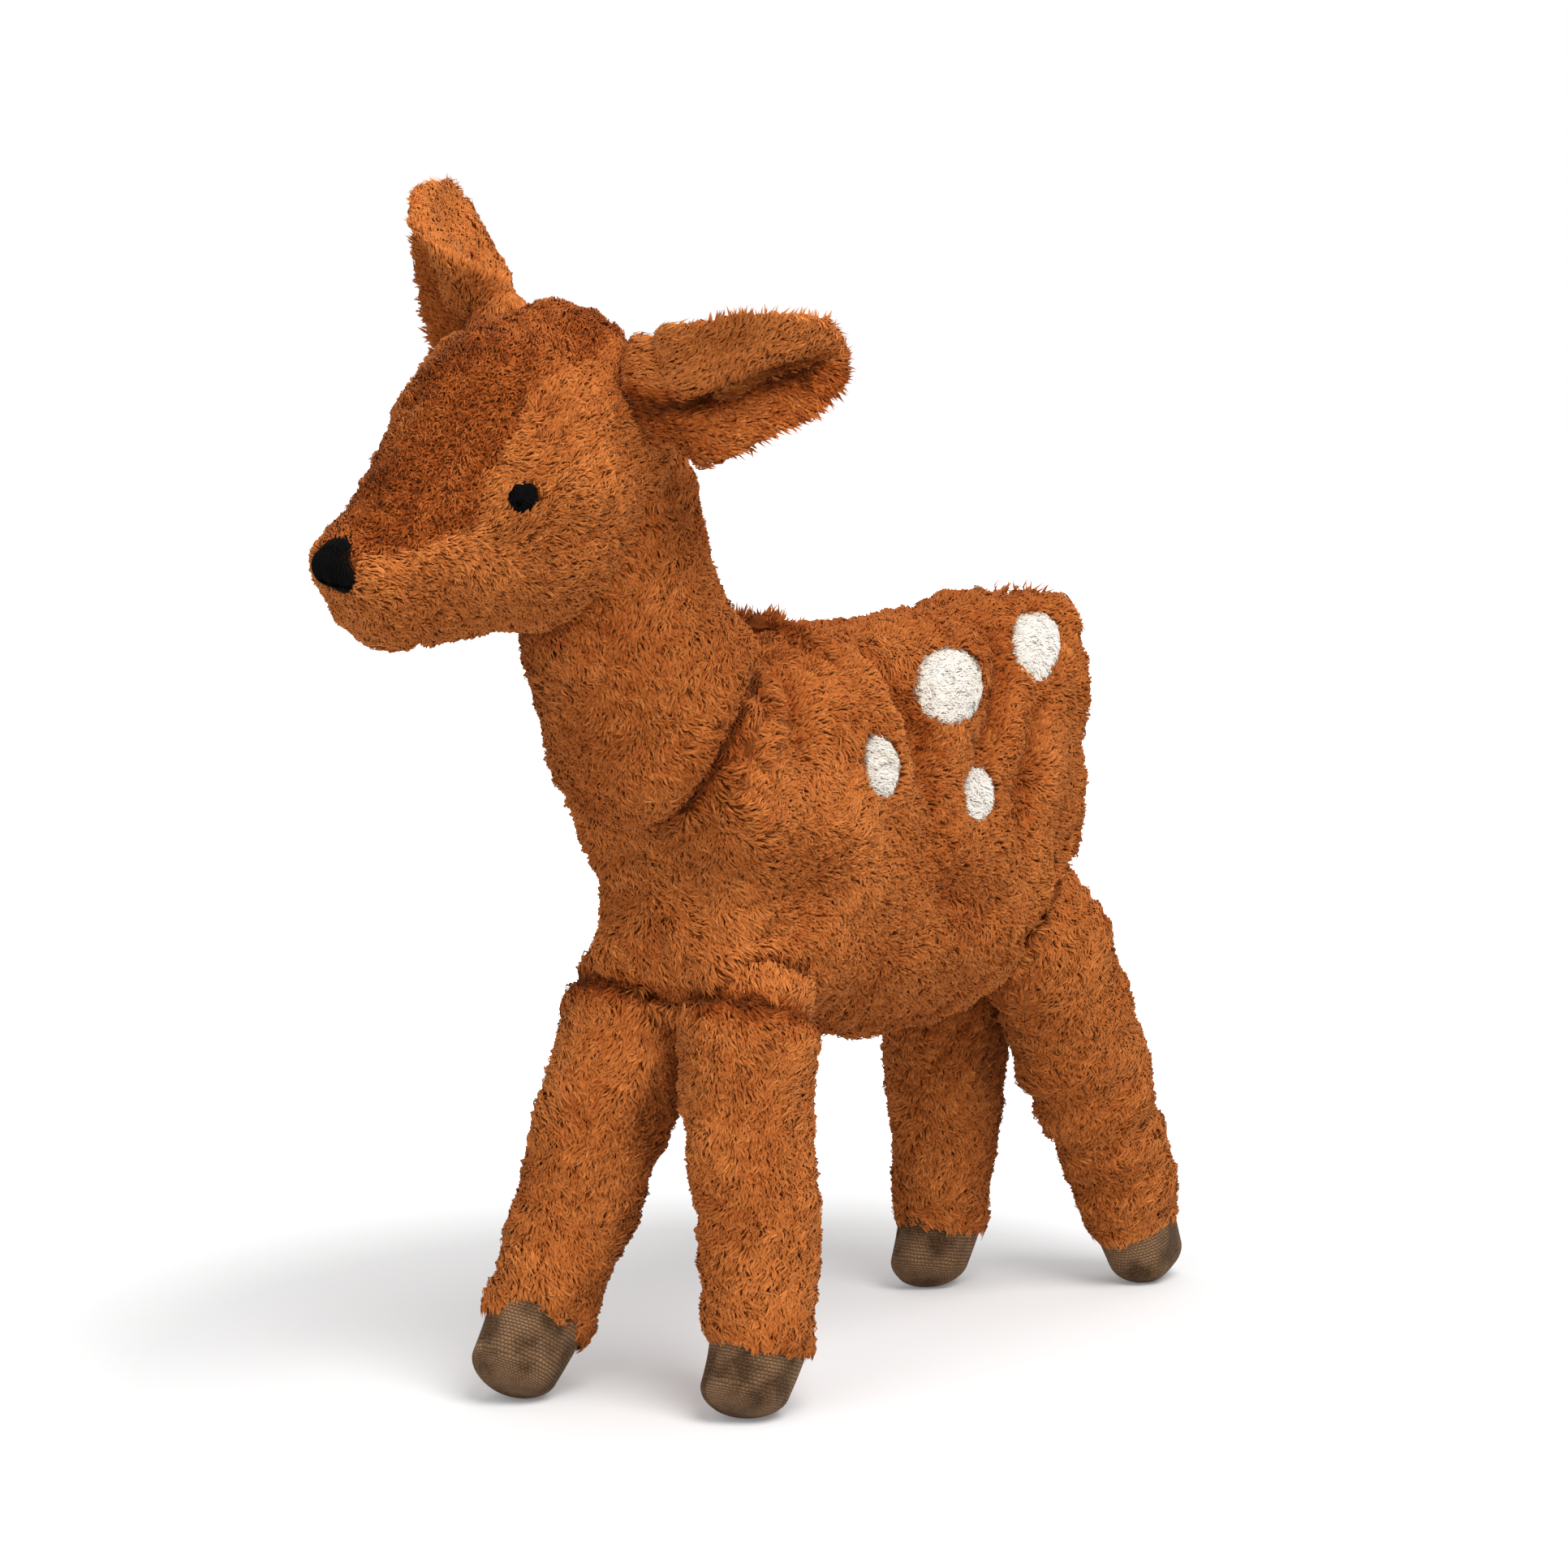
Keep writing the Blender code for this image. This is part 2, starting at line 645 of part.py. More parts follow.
def build_spots(fawn, skin):
    """Two large and two small spots sewn on each flank."""
    for name, along, up, size, wide in spot_rows:
        place, height = TORSO_LENGTH * along - CHEST_REACH, BACK_HEIGHT - TORSO_HEIGHT * (1 - up)
        outline = round_outline(size * wide, size, SPOT_POINTS)
        for side_name, side in (("left", 1), ("right", -1)):
            frame = frame_on(skin, (side * TORSO_WIDTH, place, height), (-side, 0, 0), (0, 0, 1))
            spot = patch_mesh(skin, frame, outline, spot_rings, PATCH_THICKNESS)
            fawn.hang(add_object(name + "_" + side_name, spot), fawn.root, "spot")


def build_leg(fawn, name, leg, ground):
    """A pile sleeve over its stuffing, closed by a hoof of woven cloth."""
    wide = TORSO_LENGTH
    hip = fawn.add_empty(name + "_hip", leg.centre(0), fawn.root)
    sole = leg.centre(1) + leg.heading(1) * leg.caps[1]
    seam = Matrix.Translation(sole - leg.heading(1) * HOOF_HEIGHT)
    seam = seam @ box_frame((0, 0, 0), leg.heading(1))
    low_block = block_mesh((-wide, -wide, -FIT_GAP / 2), (wide, wide, wide), seam)
    high_block = block_mesh((-wide, -wide, -wide * 2), (wide, wide, FIT_GAP / 2), seam)
    below = fawn.cutter(name + "_below", low_block, hip)
    above = fawn.cutter(name + "_above", high_block, hip)

    sleeve = fawn.hang(add_object(name + "_leg_cover", leg.mesh(0, LIMB_SAMPLING)), hip, "pile")
    cut(sleeve, below)
    cut(sleeve, fawn.cutter(name + "_leg_cavity", leg.mesh(COVER_WALL, INNER_LIMB_SAMPLING), hip))
    hoof = fawn.hang(add_object(name + "_hoof", leg.mesh(HOOF_STEP, LIMB_SAMPLING)), hip, "hoof")
    hollow = leg.mesh(HOOF_STEP + HOOF_WALL, INNER_LIMB_SAMPLING)
    cut(hoof, ground)
    cut(hoof, above)
    cut(hoof, fawn.cutter(name + "_hoof_cavity", hollow, hip))
    filling = leg.mesh(COVER_WALL + FIT_GAP, INNER_LIMB_SAMPLING)
    fawn.hang(add_object(name + "_leg_stuffing", filling), hip, "stuffing")


def build_neck(fawn, neck):
    """A pile tube, open at both ends round its stuffing."""
    nod = fawn.add_empty("neck_nod", neck.centre(0), fawn.root)
    sleeve = fawn.hang(add_object("neck_cover", neck.mesh(0, LIMB_SAMPLING)), nod, "pile")
    cut(sleeve, fawn.cutter("neck_cavity", neck.mesh(COVER_WALL, INNER_SAMPLING), nod))
    ends = (
        ("neck_foot", neck.centre(0), -neck.heading(0), neck.caps[0]),
        ("neck_mouth", neck.centre(1), neck.heading(1), neck.caps[1]),
    )
    for name, end, way, radius in ends:
        low = (-NECK_WIDTH, -NECK_WIDTH, radius * neck_opening_share)
        high = (NECK_WIDTH, NECK_WIDTH, NECK_WIDTH)
        cut(sleeve, fawn.cutter(name, block_mesh(low, high, box_frame(end, way)), nod))
    filling = neck.mesh(COVER_WALL + FIT_GAP, INNER_SAMPLING)
    fawn.hang(add_object("neck_stuffing", filling), nod, "stuffing")
    return nod


def head_mesh(head, place, inset=0, sampling=BODY_SAMPLING):
    bm = head.mesh(inset, sampling)
    bm.transform(place)
    return bm


def add_head_seats(fawn, neck, ear_places, turn):
    """Room in the head for the neck's top and for the roots of the ears."""
    radius = neck.caps[1] + SEAT_GAP
    flare = math.atan2(NECK_WIDTH - NECK_TOP_WIDTH, NECK_WIDTH)
    room = seat_mesh(neck.centre(1), -neck.heading(1), radius, radius, NECK_WIDTH, flare)
    seats = [fawn.cutter("head_seat", room, turn)]
    radius = EAR_ROOT_RADIUS + SEAT_GAP
    for name, place in ear_places.items():
        room = seat_mesh((0, 0, 0), (0, 1, 0), radius, radius, EAR_LENGTH, EAR_SWING)
        room.transform(place)
        seats.append(fawn.cutter("ear_" + name + "_seat", room, turn))
    return seats


def build_head(fawn, head, place, seats, turn):
    """Two side panels and a forehead gusset between them, round the stuffing."""
    wide = HEAD_LENGTH
    cavity = fawn.cutter("head_cavity", head_mesh(head, place, COVER_WALL, INNER_SAMPLING), turn)
    left_block = block_mesh((-FIT_GAP / 2, -wide, -wide), (wide, wide, wide), place)
    right_block = block_mesh((-wide, -wide, -wide), (FIT_GAP / 2, wide, wide), place)
    far_half = {
        "left": fawn.cutter("head_right_of_middle", right_block, turn),
        "right": fawn.cutter("head_left_of_middle", left_block, turn),
    }
    strip = fawn.cutter("gusset_strip", gusset_mesh(0, place), turn)
    strip_gap = fawn.cutter("gusset_gap", gusset_mesh(FIT_GAP, place), turn)
    for side in ("left", "right"):
        panel = fawn.hang(add_object("head_" + side + "_panel", head_mesh(head, place)), turn, "pile")
        for tool in [cavity] + seats + [strip_gap, far_half[side]]:
            cut(panel, tool)
    gusset = fawn.hang(add_object("forehead_gusset", head_mesh(head, place)), turn, "pile")
    for tool in [cavity] + seats:
        cut(gusset, tool)
    cut(gusset, strip, "INTERSECT")
    filling = head_mesh(head, place, COVER_WALL + FIT_GAP, INNER_SAMPLING)
    stuffing = fawn.hang(add_object("head_stuffing", filling), turn, "stuffing")
    for tool in seats:
        cut(stuffing, tool)


def build_face(fawn, head, place, turn):
    """Eyes and nose, embroidered on the face."""
    skin = head_mesh(head, place)
    facing = place.to_3x3()
    upright = facing @ Vector((0, 0, 1))
    eye_outline = round_outline(EYE_SIZE, EYE_SIZE, EYE_POINTS)
    for name, side in (("eye_left", 1), ("eye_right", -1)):
        beside = (side * HEAD_WIDTH, -HEAD_LENGTH * eye_forward_share, HEAD_HEIGHT * eye_up_share)
        frame = frame_on(skin, place @ Vector(beside), facing @ Vector((-side, 0, 0)), upright)
        eye = patch_mesh(skin, frame, eye_outline, eye_rings, PATCH_THICKNESS)
        fawn.hang(add_object(name, eye), turn, "thread")
    ahead = (0, -HEAD_LENGTH, -HEAD_HEIGHT * nose_down_share)
    frame = frame_on(skin, place @ Vector(ahead), facing @ Vector((0, 1, 0)), upright)
    nose = patch_mesh(skin, frame, nose_outline(), nose_rings, PATCH_THICKNESS)
    fawn.hang(add_object("nose", nose), turn, "thread")
    skin.free()


def build_ear(fawn, name, place, turn):
    """A curled outer piece and the lining in its hollow."""
    joint = fawn.add_empty("ear_" + name, place.translation, turn)
    blade = ear_form().mesh(0, LIMB_SAMPLING)
    middle = Matrix.Translation((0, EAR_LENGTH * lining_middle_share, 0))
    outline = round_outline(LINING_WIDTH, LINING_LENGTH, LINING_POINTS)
    lining = patch_mesh(blade, middle, outline, lining_rings, LINING_THICKNESS)
    for part_name, bm in (("_back", blade), ("_lining", lining)):
        bm.transform(place)
        fawn.hang(add_object("ear_" + name + part_name, bm), joint, "pile")


def build_tail(fawn, tail):
    joint = fawn.add_empty("tail_lift", tail.centre(0), fawn.root)
    fawn.hang(add_object("tail", tail.mesh(0, TAIL_SAMPLING)), joint, "pile")


def stand_on_origin(root):
    """Moves the fawn so that the middle of its footprint is the origin."""
    bpy.context.view_layer.update()
    depsgraph = bpy.context.evaluated_depsgraph_get()
    corners = []
    for item in bpy.data.objects:
        if item.type == "MESH" and not item.hide_render:
            shape = item.evaluated_get(depsgraph)
            corners += [shape.matrix_world @ vert.co for vert in shape.data.vertices]
    low = [min(corner[axis] for corner in corners) for axis in range(3)]
    high = [max(corner[axis] for corner in corners) for axis in range(3)]
    root.location = (-(low[0] + high[0]) / 2, -(low[1] + high[1]) / 2, -low[2])


def build_fawn():
    clear_scene()
    fawn = Assembly()
    torso, neck, head = torso_form(), neck_form(), head_form()
    legs = {name: leg_form(side, *pair, step) for name, side, pair, step in leg_rows}

    neck_seat = add_neck_seat(fawn, neck)
    side_seats = {side: add_leg_seats(fawn, legs, side) for side in ("left", "right")}
    build_torso(fawn, torso, neck_seat, side_seats)
    skin = torso.mesh()
    build_spots(fawn, skin)
    wide = TORSO_LENGTH
    ground = fawn.cutter("ground", block_mesh((-wide, -wide, -wide), (wide, wide, 0)))
    for name, leg in legs.items():
        build_leg(fawn, name, leg, ground)
    build_tail(fawn, tail_form(skin))
    skin.free()

    nod = build_neck(fawn, neck)
    turn = fawn.add_empty("head_turn", neck.centre(1), nod)
    place = head_frame()
    ear_places = {name: place @ ear_frame(name) for name in ("left", "right")}
    build_head(fawn, head, place, add_head_seats(fawn, neck, ear_places, turn), turn)
    build_face(fawn, head, place, turn)
    for name, ear_place in ear_places.items():
        build_ear(fawn, name, ear_place, turn)
    stand_on_origin(fawn.root)


build_fawn()
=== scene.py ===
import math

import bmesh
import bpy
import numpy as np
from mathutils import Matrix, Vector
from mathutils.bvhtree import BVHTree


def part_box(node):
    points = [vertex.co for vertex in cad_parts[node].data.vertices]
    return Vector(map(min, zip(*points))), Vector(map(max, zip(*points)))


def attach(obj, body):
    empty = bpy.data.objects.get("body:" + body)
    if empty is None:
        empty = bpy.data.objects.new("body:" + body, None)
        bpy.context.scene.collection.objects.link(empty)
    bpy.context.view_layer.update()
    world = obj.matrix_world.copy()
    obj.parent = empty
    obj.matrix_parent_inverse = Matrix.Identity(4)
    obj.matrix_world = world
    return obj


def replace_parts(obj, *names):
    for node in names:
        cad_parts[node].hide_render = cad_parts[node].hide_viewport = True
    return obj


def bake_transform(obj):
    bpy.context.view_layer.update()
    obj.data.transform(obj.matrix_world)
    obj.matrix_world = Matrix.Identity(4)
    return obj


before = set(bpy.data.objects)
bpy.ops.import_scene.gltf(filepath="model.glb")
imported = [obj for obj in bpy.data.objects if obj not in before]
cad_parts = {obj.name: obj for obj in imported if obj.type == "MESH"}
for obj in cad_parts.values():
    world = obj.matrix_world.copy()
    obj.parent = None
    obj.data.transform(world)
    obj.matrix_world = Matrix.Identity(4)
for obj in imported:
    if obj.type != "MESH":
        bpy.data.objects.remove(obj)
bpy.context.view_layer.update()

# The plush is shaped in its own frame: +X is its left, -Y is forward, hooves on Z = 0.
# "stand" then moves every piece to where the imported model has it.
hands = (("Left", 1), ("Right", -1))
photoCentre = (0.037, -0.077, 0.205)  # what the photo's camera looks at
photoRight = np.array([0.788, 0.616, 0])  # to the right and up, as the photo sees it
photoUp = np.array([-0.075, 0.096, 0.9925])
norm = np.linalg.norm


def share(value):
    return np.clip(value, 0, 1)


def readRows(rows, value, column=1):
    rows = np.array(rows)
    return np.interp(value, rows[:, 0], rows[:, column])


def smoothRow(rows, along):
    place = along * (len(rows) - 1)
    low = min(int(place), len(rows) - 2)
    t = place - low
    before, first, second, after = (
        np.array(rows[min(max(low + k, 0), len(rows) - 1)], float) for k in (-1, 0, 1, 2))
    leave, arrive = (second - before) / 2, (after - first) / 2
    return ((2 * t**3 - 3 * t**2 + 1) * first + (t**3 - 2 * t**2 + t) * leave
            + (3 * t**2 - 2 * t**3) * second + (t**3 - t**2) * arrive)


def rounded(value, power):
    return np.sign(value) * np.abs(value) ** power


def unit(ways):
    return ways / np.maximum(norm(ways, axis=-1, keepdims=True), 1e-9)


def ripples(points, size, seed, count=7):
    rng = np.random.default_rng(seed)  # smooth waves in all directions, about -1 to 1
    ways = unit(rng.normal(size=(count, 3))) * math.tau / size * rng.uniform(0.7, 1.5, (count, 1))
    return np.sin(points @ ways.T + rng.uniform(0, math.tau, count)).sum(1) / math.sqrt(count)


def swell(distance, width):
    return np.exp(-(distance / width) ** 2)


def into(place, points):
    return (points - np.array(place.translation)) @ np.array(place.to_3x3())


def outOf(place, ways):
    return ways @ np.array(place.to_3x3()).T


def nodeName(name):
    return "".join("_" + letter.lower() if letter.isupper() else letter for letter in name)


class SoftForm:
    # sections along a spine, rounded off past both ends, as the stuffed parts are sewn
    def __init__(self, spine, sections, caps, side=(1, 0, 0), capPower=1):
        self.spine = [tuple(point) for point in spine]
        self.sections = sections
        self.caps = caps
        self.side = Vector(side).normalized()
        self.capPower = capPower

    def centre(self, along):
        return Vector(smoothRow(self.spine, along))

    def heading(self, along):
        step = 1 / (20 * len(self.spine))
        way = self.centre(min(along + step, 1)) - self.centre(max(along - step, 0))
        return (way - self.side * way.dot(self.side)).normalized()

    def ring(self, along, end, angle, turns):
        heading = self.heading(along)
        width, rise, drop, curl, pinch, power = smoothRow(self.sections, along)
        shrink = rounded(math.cos(angle), self.capPower)
        forward = self.caps[max(end, 0)] * rounded(math.sin(angle), self.capPower) * end
        across = rounded(np.cos(turns), power) * shrink * (1 - pinch * np.sin(turns))
        above = rounded(np.sin(turns), power) * shrink
        above = np.where(above > 0, above * rise, above * drop)
        lean = curl * across
        bend = np.sinc(lean / math.pi)
        sideways = width * across * bend - above * np.sin(lean)
        upright = width * across * np.tan(lean / 2) * bend + above * np.cos(lean)
        middle = np.array(self.centre(along) + heading * float(forward))
        return middle + np.outer(sideways, self.side) + np.outer(upright, self.side.cross(heading))


def fetch(items, name):
    values = np.zeros(len(items) * 3, np.float32)
    items.foreach_get(name, values)
    return values.reshape(-1, 3).astype(float)


def give(items, name, values, kind=np.float32):
    items.foreach_set(name, np.asarray(values, kind).ravel())


def pointsOf(piece):
    return fetch(piece.data.vertices, "co")


def normalsOf(piece):
    return fetch(piece.data.vertex_normals, "vector")


def setPoints(piece, points):
    give(piece.data.vertices, "co", points)
    piece.data.update()


def sculpt(piece, rule):
    setPoints(piece, rule(pointsOf(piece), normalsOf(piece)))


def asPiece(name, mesh):
    mesh.shade_smooth()
    piece = bpy.data.objects.new(name, mesh)
    bpy.context.scene.collection.objects.link(piece)
    return piece


def addMesh(name, points, faces):
    mesh = bpy.data.meshes.new(name)
    mesh.from_pydata([tuple(p) for p in points], [], faces)
    mesh.update()
    return asPiece(name, mesh)


def makeSkin(name, form, spans, count, capRings, inset, place=None):
    body = spans * (len(form.spine) - 1)
    bend = math.pi / 2 / capRings
    stops = [(0, -1, bend * k) for k in range(capRings - 1, 0, -1)]
    stops += [(k / body, 0, 0) for k in range(body + 1)]
    stops += [(1, 1, bend * k) for k in range(1, capRings)]
    turns = np.arange(count) * math.tau / count
    rings = np.array([form.ring(*stop, turns) for stop in stops])
    first = np.array(form.centre(0) - form.heading(0) * form.caps[0])
    end = np.array(form.centre(1) + form.heading(1) * form.caps[1])
    points = np.concatenate([first[None], *rings, end[None]])
    middle, half = rings.mean(1), rings[len(rings) // 2]
    wide = norm(rings - middle[:, None], axis=2).mean(1)
    along = np.cumsum([0, *(norm(np.diff(middle, axis=0), axis=1) + np.abs(np.diff(wide)))])
    girth = norm(np.roll(half, 1, 0) - half, axis=1).sum()
    starts = [1 + count * k for k in range(len(rings))]
    faces, cloth = [], []
    for k in range(count):
        n = (k + 1) % count
        u, v = girth * k / count, girth * (k + 1) / count
        for a, b, low, high in zip(starts, starts[1:], along, along[1:]):
            faces.append((a + k, b + k, b + n, a + n))
            cloth += [(u, low), (u, high), (v, high), (v, low)]
        faces += [(0, 1 + k, 1 + n), (b + k, len(points) - 1, b + n)]
        cloth += [(u, 0), (u, 0), (v, 0), (u, high), (u, high + form.caps[1] * 0.3), (v, high)]
    piece = addMesh(name, points, faces)
    give(piece.data.uv_layers.new(name="cloth").data, "uv", cloth)
    sculpt(piece, lambda points, normals: points - normals * inset)
    if place is not None:
        piece.data.transform(place)
    return piece


class Surface:
    # what the pile is grown on: places, normals and triangles, and the nearest point of them
    def __init__(self, piece):
        piece.data.calc_loop_triangles()
        self.points, self.normals = pointsOf(piece), normalsOf(piece)
        self.tris = np.array([tri.vertices[:] for tri in piece.data.loop_triangles])
        self.tree = BVHTree.FromPolygons(self.points.tolist(), self.tris.tolist())
        self.low, self.high = self.points.min(0), self.points.max(0)

    def scatter(self, spacing, seed, keep=None):
        a, b, c = (self.points[self.tris[:, k]] for k in range(3))
        area = norm(np.cross(b - a, c - a), axis=1) / 2
        if keep is not None:
            area = area * keep((a + b + c) / 3)
        total = np.cumsum(area)
        count = int(total[-1] / spacing**2)
        rng = np.random.default_rng(seed)
        face = np.searchsorted(total, (np.arange(count) + rng.random(count)) / count * total[-1])
        corner = self.tris[np.minimum(face, len(area) - 1)]
        r, s = np.sqrt(rng.random(count))[:, None], rng.random(count)[:, None]

        def spread(values):
            first, second, third = (values[corner[:, k]] for k in range(3))
            return first * (1 - r) + r * (1 - s) * second + r * s * third
        return spread(self.points), unit(spread(self.normals))

    def depth(self, points):
        found = np.full(len(points), -1.0)  # how deep points lie inside, less than 0 outside
        for k in np.flatnonzero(((points > self.low) & (points < self.high)).all(1)):
            place, normal, _, _ = self.tree.find_nearest(Vector(points[k]))
            found[k] = normal.dot(place - Vector(points[k]))
        return found

    def frameOn(self, start, way, upright):
        place, normal, _, _ = self.tree.ray_cast(Vector(start), Vector(way))
        upright = Vector(upright)
        level = (upright - normal * upright.dot(normal)).normalized()
        turn = Matrix((level.cross(normal), level, normal)).transposed().to_4x4()
        return Matrix.Translation(place) @ turn

    def lay(self, placed, x, y, reach=0.03):
        start = placed @ Vector((x, y, reach))
        return self.tree.ray_cast(start, -(placed.to_3x3() @ Vector((0, 0, 1))))[:2]


class Wire:
    # a socket that can be used in sums; node() adds any other node
    def __init__(self, tree, socket=None):
        self.tree = tree
        self.socket = socket

    def node(self, kind, settings=None, sockets=None, output=0):
        made = self.tree.nodes.new(kind)
        for name, value in (settings or {}).items():
            setattr(made, name, value)
        for name, value in (sockets or {}).items():
            if isinstance(value, Wire):
                self.tree.links.new(value.socket, made.inputs[name])
            else:
                made.inputs[name].default_value = value
        return Wire(self.tree, made.outputs[output])

    def maths(self, operation, first, second=0.0):
        return self.node("ShaderNodeMath", {"operation": operation}, {0: first, 1: second})

    def __add__(self, other):
        return self.maths("ADD", self, other)

    def __radd__(self, other):
        return self.maths("ADD", other, self)

    def __sub__(self, other):
        return self.maths("SUBTRACT", self, other)

    def __rsub__(self, other):
        return self.maths("SUBTRACT", other, self)

    def __mul__(self, other):
        return self.maths("MULTIPLY", self, other)

    def __rmul__(self, other):
        return self.maths("MULTIPLY", other, self)

    def __truediv__(self, other):
        return self.maths("DIVIDE", self, other)

    def __pow__(self, other):
        return self.maths("POWER", self, other)

    def clamped(self, low=0.0, high=1.0):
        return self.node("ShaderNodeClamp", None, {0: self, 1: low, 2: high})

    def mix(self, first, second):
        first, second = (c if isinstance(c, Wire) else (*c, 1) for c in (first, second))
        chosen = {"data_type": "RGBA", "clamp_factor": True}
        return self.node("ShaderNodeMix", chosen, {0: self, 6: first, 7: second}, 2)

    def scaled(self, colour):
        return self.node("ShaderNodeVectorMath", {"operation": "SCALE"}, {0: colour, "Scale": self})


def startFinish(name, roughness, specular, sheen=0.0, sheenTint=(1, 1, 1)):
    material = bpy.data.materials.new(name)
    material.use_nodes = True
    shader = material.node_tree.nodes["Principled BSDF"]
    values = {"Roughness": roughness, "Specular IOR Level": specular, "Sheen Weight": sheen,
              "Sheen Roughness": 0.5, "Sheen Tint": (*sheenTint, 1)}
    for socket, value in values.items():
        shader.inputs[socket].default_value = value
    return material, Wire(material.node_tree), shader


def feed(wire, shader, socket):
    wire.tree.links.new(wire.socket, shader.inputs[socket])


def relief(height, shader, strength, distance):
    bump = {"Strength": strength, "Distance": distance, "Height": height}
    feed(height.node("ShaderNodeBump", None, bump), shader, "Normal")


def solidPlace(start):
    return start.node("ShaderNodeTexCoord", None, None, 3)


def clothPlace(start, layer):
    place = start.node("ShaderNodeUVMap", {"uv_map": layer})
    return [start.node("ShaderNodeSeparateXYZ", None, {0: place}, k) for k in (0, 1)]


def noise(place, scale, detail):
    return place.node("ShaderNodeTexNoise", None, {"Vector": place, "Scale": scale, "Detail": detail})


def pileFinish(name, colours, streaks, sheen):
    material, start, shader = startFinish(name, 0.85, 0.1, sheen, colours["sheen"])
    across, along = clothPlace(start, "strand")
    tone = start.node("ShaderNodeAttribute", {"attribute_name": "tone"}, None, 2)
    fibre = start.node("ShaderNodeCombineXYZ", None, {0: across * 5 + tone * 70, 1: along * 1.2})
    streak = start.node("ShaderNodeTexNoise", {"noise_dimensions": "2D"},
                        {"Vector": fibre, "Scale": 1.0, "Detail": 2.0, "Roughness": 0.6})
    tip = tone.mix(colours["dark"], colours["light"])
    # each tuft is painted darker toward its root: painted shade where the tufts crowd together
    rootShadedColour = ((along * 1.35 - 0.12).clamped() ** 0.8).mix(colours["root"], tip)
    # where the per-tuft attribute falls below about 0.08 the tuft darkens throughout, to 0.3 at most: this is
    # how the painted shade of folds, seams, hems and creases shows
    deep = (tone * 1.2 + 0.9).clamped(0.3)
    feed((deep * (1 - streaks / 2 + streak * streaks)).scaled(rootShadedColour), shader, "Base Color")
    relief(streak, shader, 0.35, 0.00012)
    return material


# the backing is coloured darker than the pile over it: painted shade of the tuft roots
def backingFinish(name, dark, light):
    material, start, shader = startFinish(name, 0.9, 0.15, 0.2, light)
    grain = noise(solidPlace(start), 900.0, 3.0)
    feed(grain.mix(dark, light), shader, "Base Color")
    relief(grain, shader, 0.6, 0.0006)
    return material


hoofCloth = {"rowHeight": 0.0013, "stitchWidth": 0.0019, "dark": (0.04, 0.019, 0.008),
             "light": (0.35, 0.195, 0.1), "bump": 0.0008}


def hoofFinish():
    material, start, shader = startFinish("hoofCloth", 0.9, 0.1, 0.1, (0.9, 0.7, 0.5))
    across, along = clothPlace(start, "cloth")
    solid = solidPlace(start)
    wander = noise(solid, 230.0, 2.0)
    row = along / hoofCloth["rowHeight"] + wander * 0.9
    stitch = across / hoofCloth["stitchWidth"] + start.maths("FLOOR", row) * 0.5 + wander * 0.8
    ridge, bead = (start.maths("ABSOLUTE", start.maths("SINE", wave * math.pi)) for wave in (row, stitch))
    worn = ((noise(solid, 62.0, 3.0) - 0.4) * 5).clamped()
    # stitch tops are painted lighter and the grooves between stitches darker, besides the bump: painted
    # highlight and shade; the worn patches and fuzz are the cloth's own
    weave = ridge ** 0.6 * (0.2 + bead ** 0.45 * 0.8) * (0.25 + worn * 0.75)
    fuzz = noise(solid, 1300.0, 3.0)
    level = (weave * 0.7 + fuzz * 0.5 + worn * 0.24 - 0.26).clamped()
    feed(level.mix(hoofCloth["dark"], hoofCloth["light"]), shader, "Base Color")
    relief(weave + fuzz * 0.4, shader, 0.9, hoofCloth["bump"])
    return material


def threadFinish():
    material, start, shader = startFinish("blackThread", 0.9, 0.03)
    grain = noise(solidPlace(start), 1400.0, 2.0)
    feed(grain.mix((0.0015, 0.0014, 0.0014), (0.0075, 0.0066, 0.0066)), shader, "Base Color")
    feed(0.6 + grain * 0.4, shader, "Roughness")
    relief(grain, shader, 0.5, 0.0002)
    return material


# root: the foot of each tuft, darker as painted shade; dark and light: the colours of the tips
rustColours = {"root": (0.205, 0.043, 0.005), "dark": (0.325, 0.064, 0.007),
               "light": (0.77, 0.255, 0.06), "sheen": (1.0, 0.6, 0.3)}
whiteColours = {"root": (0.7, 0.62, 0.52), "dark": (0.8, 0.7, 0.58), "light": (0.93, 0.9, 0.86),
                "sheen": (1.0, 0.97, 0.92)}
finish = {
    "pile": pileFinish("rustPile", rustColours, 0.5, 0.12),
    "whitePile": pileFinish("spotPile", whiteColours, 0.22, 0.1),
    "backing": backingFinish("rootShadeBacking", (0.15, 0.032, 0.0042), (0.27, 0.068, 0.01)),
    "hoof": hoofFinish(),
    "thread": threadFinish(),
}
print("finishes made")


def comb(ways, normals, yaw):
    flat = unit(ways - normals * (ways * normals).sum(1)[:, None])
    return flat * np.cos(yaw)[:, None] + np.cross(flat, normals) * np.sin(yaw)[:, None]


def outOfSpot(points, spot):
    # below 1 inside an oval that lies on the cloth, leaning by its skew
    placed, wide, high, skew = spot
    local = into(placed, points)
    out = np.sqrt(((local[:, 0] - skew * local[:, 1]) / wide) ** 2 + (local[:, 1] / high) ** 2)
    return np.where(np.abs(local[:, 2]) < 0.012, out, 9)


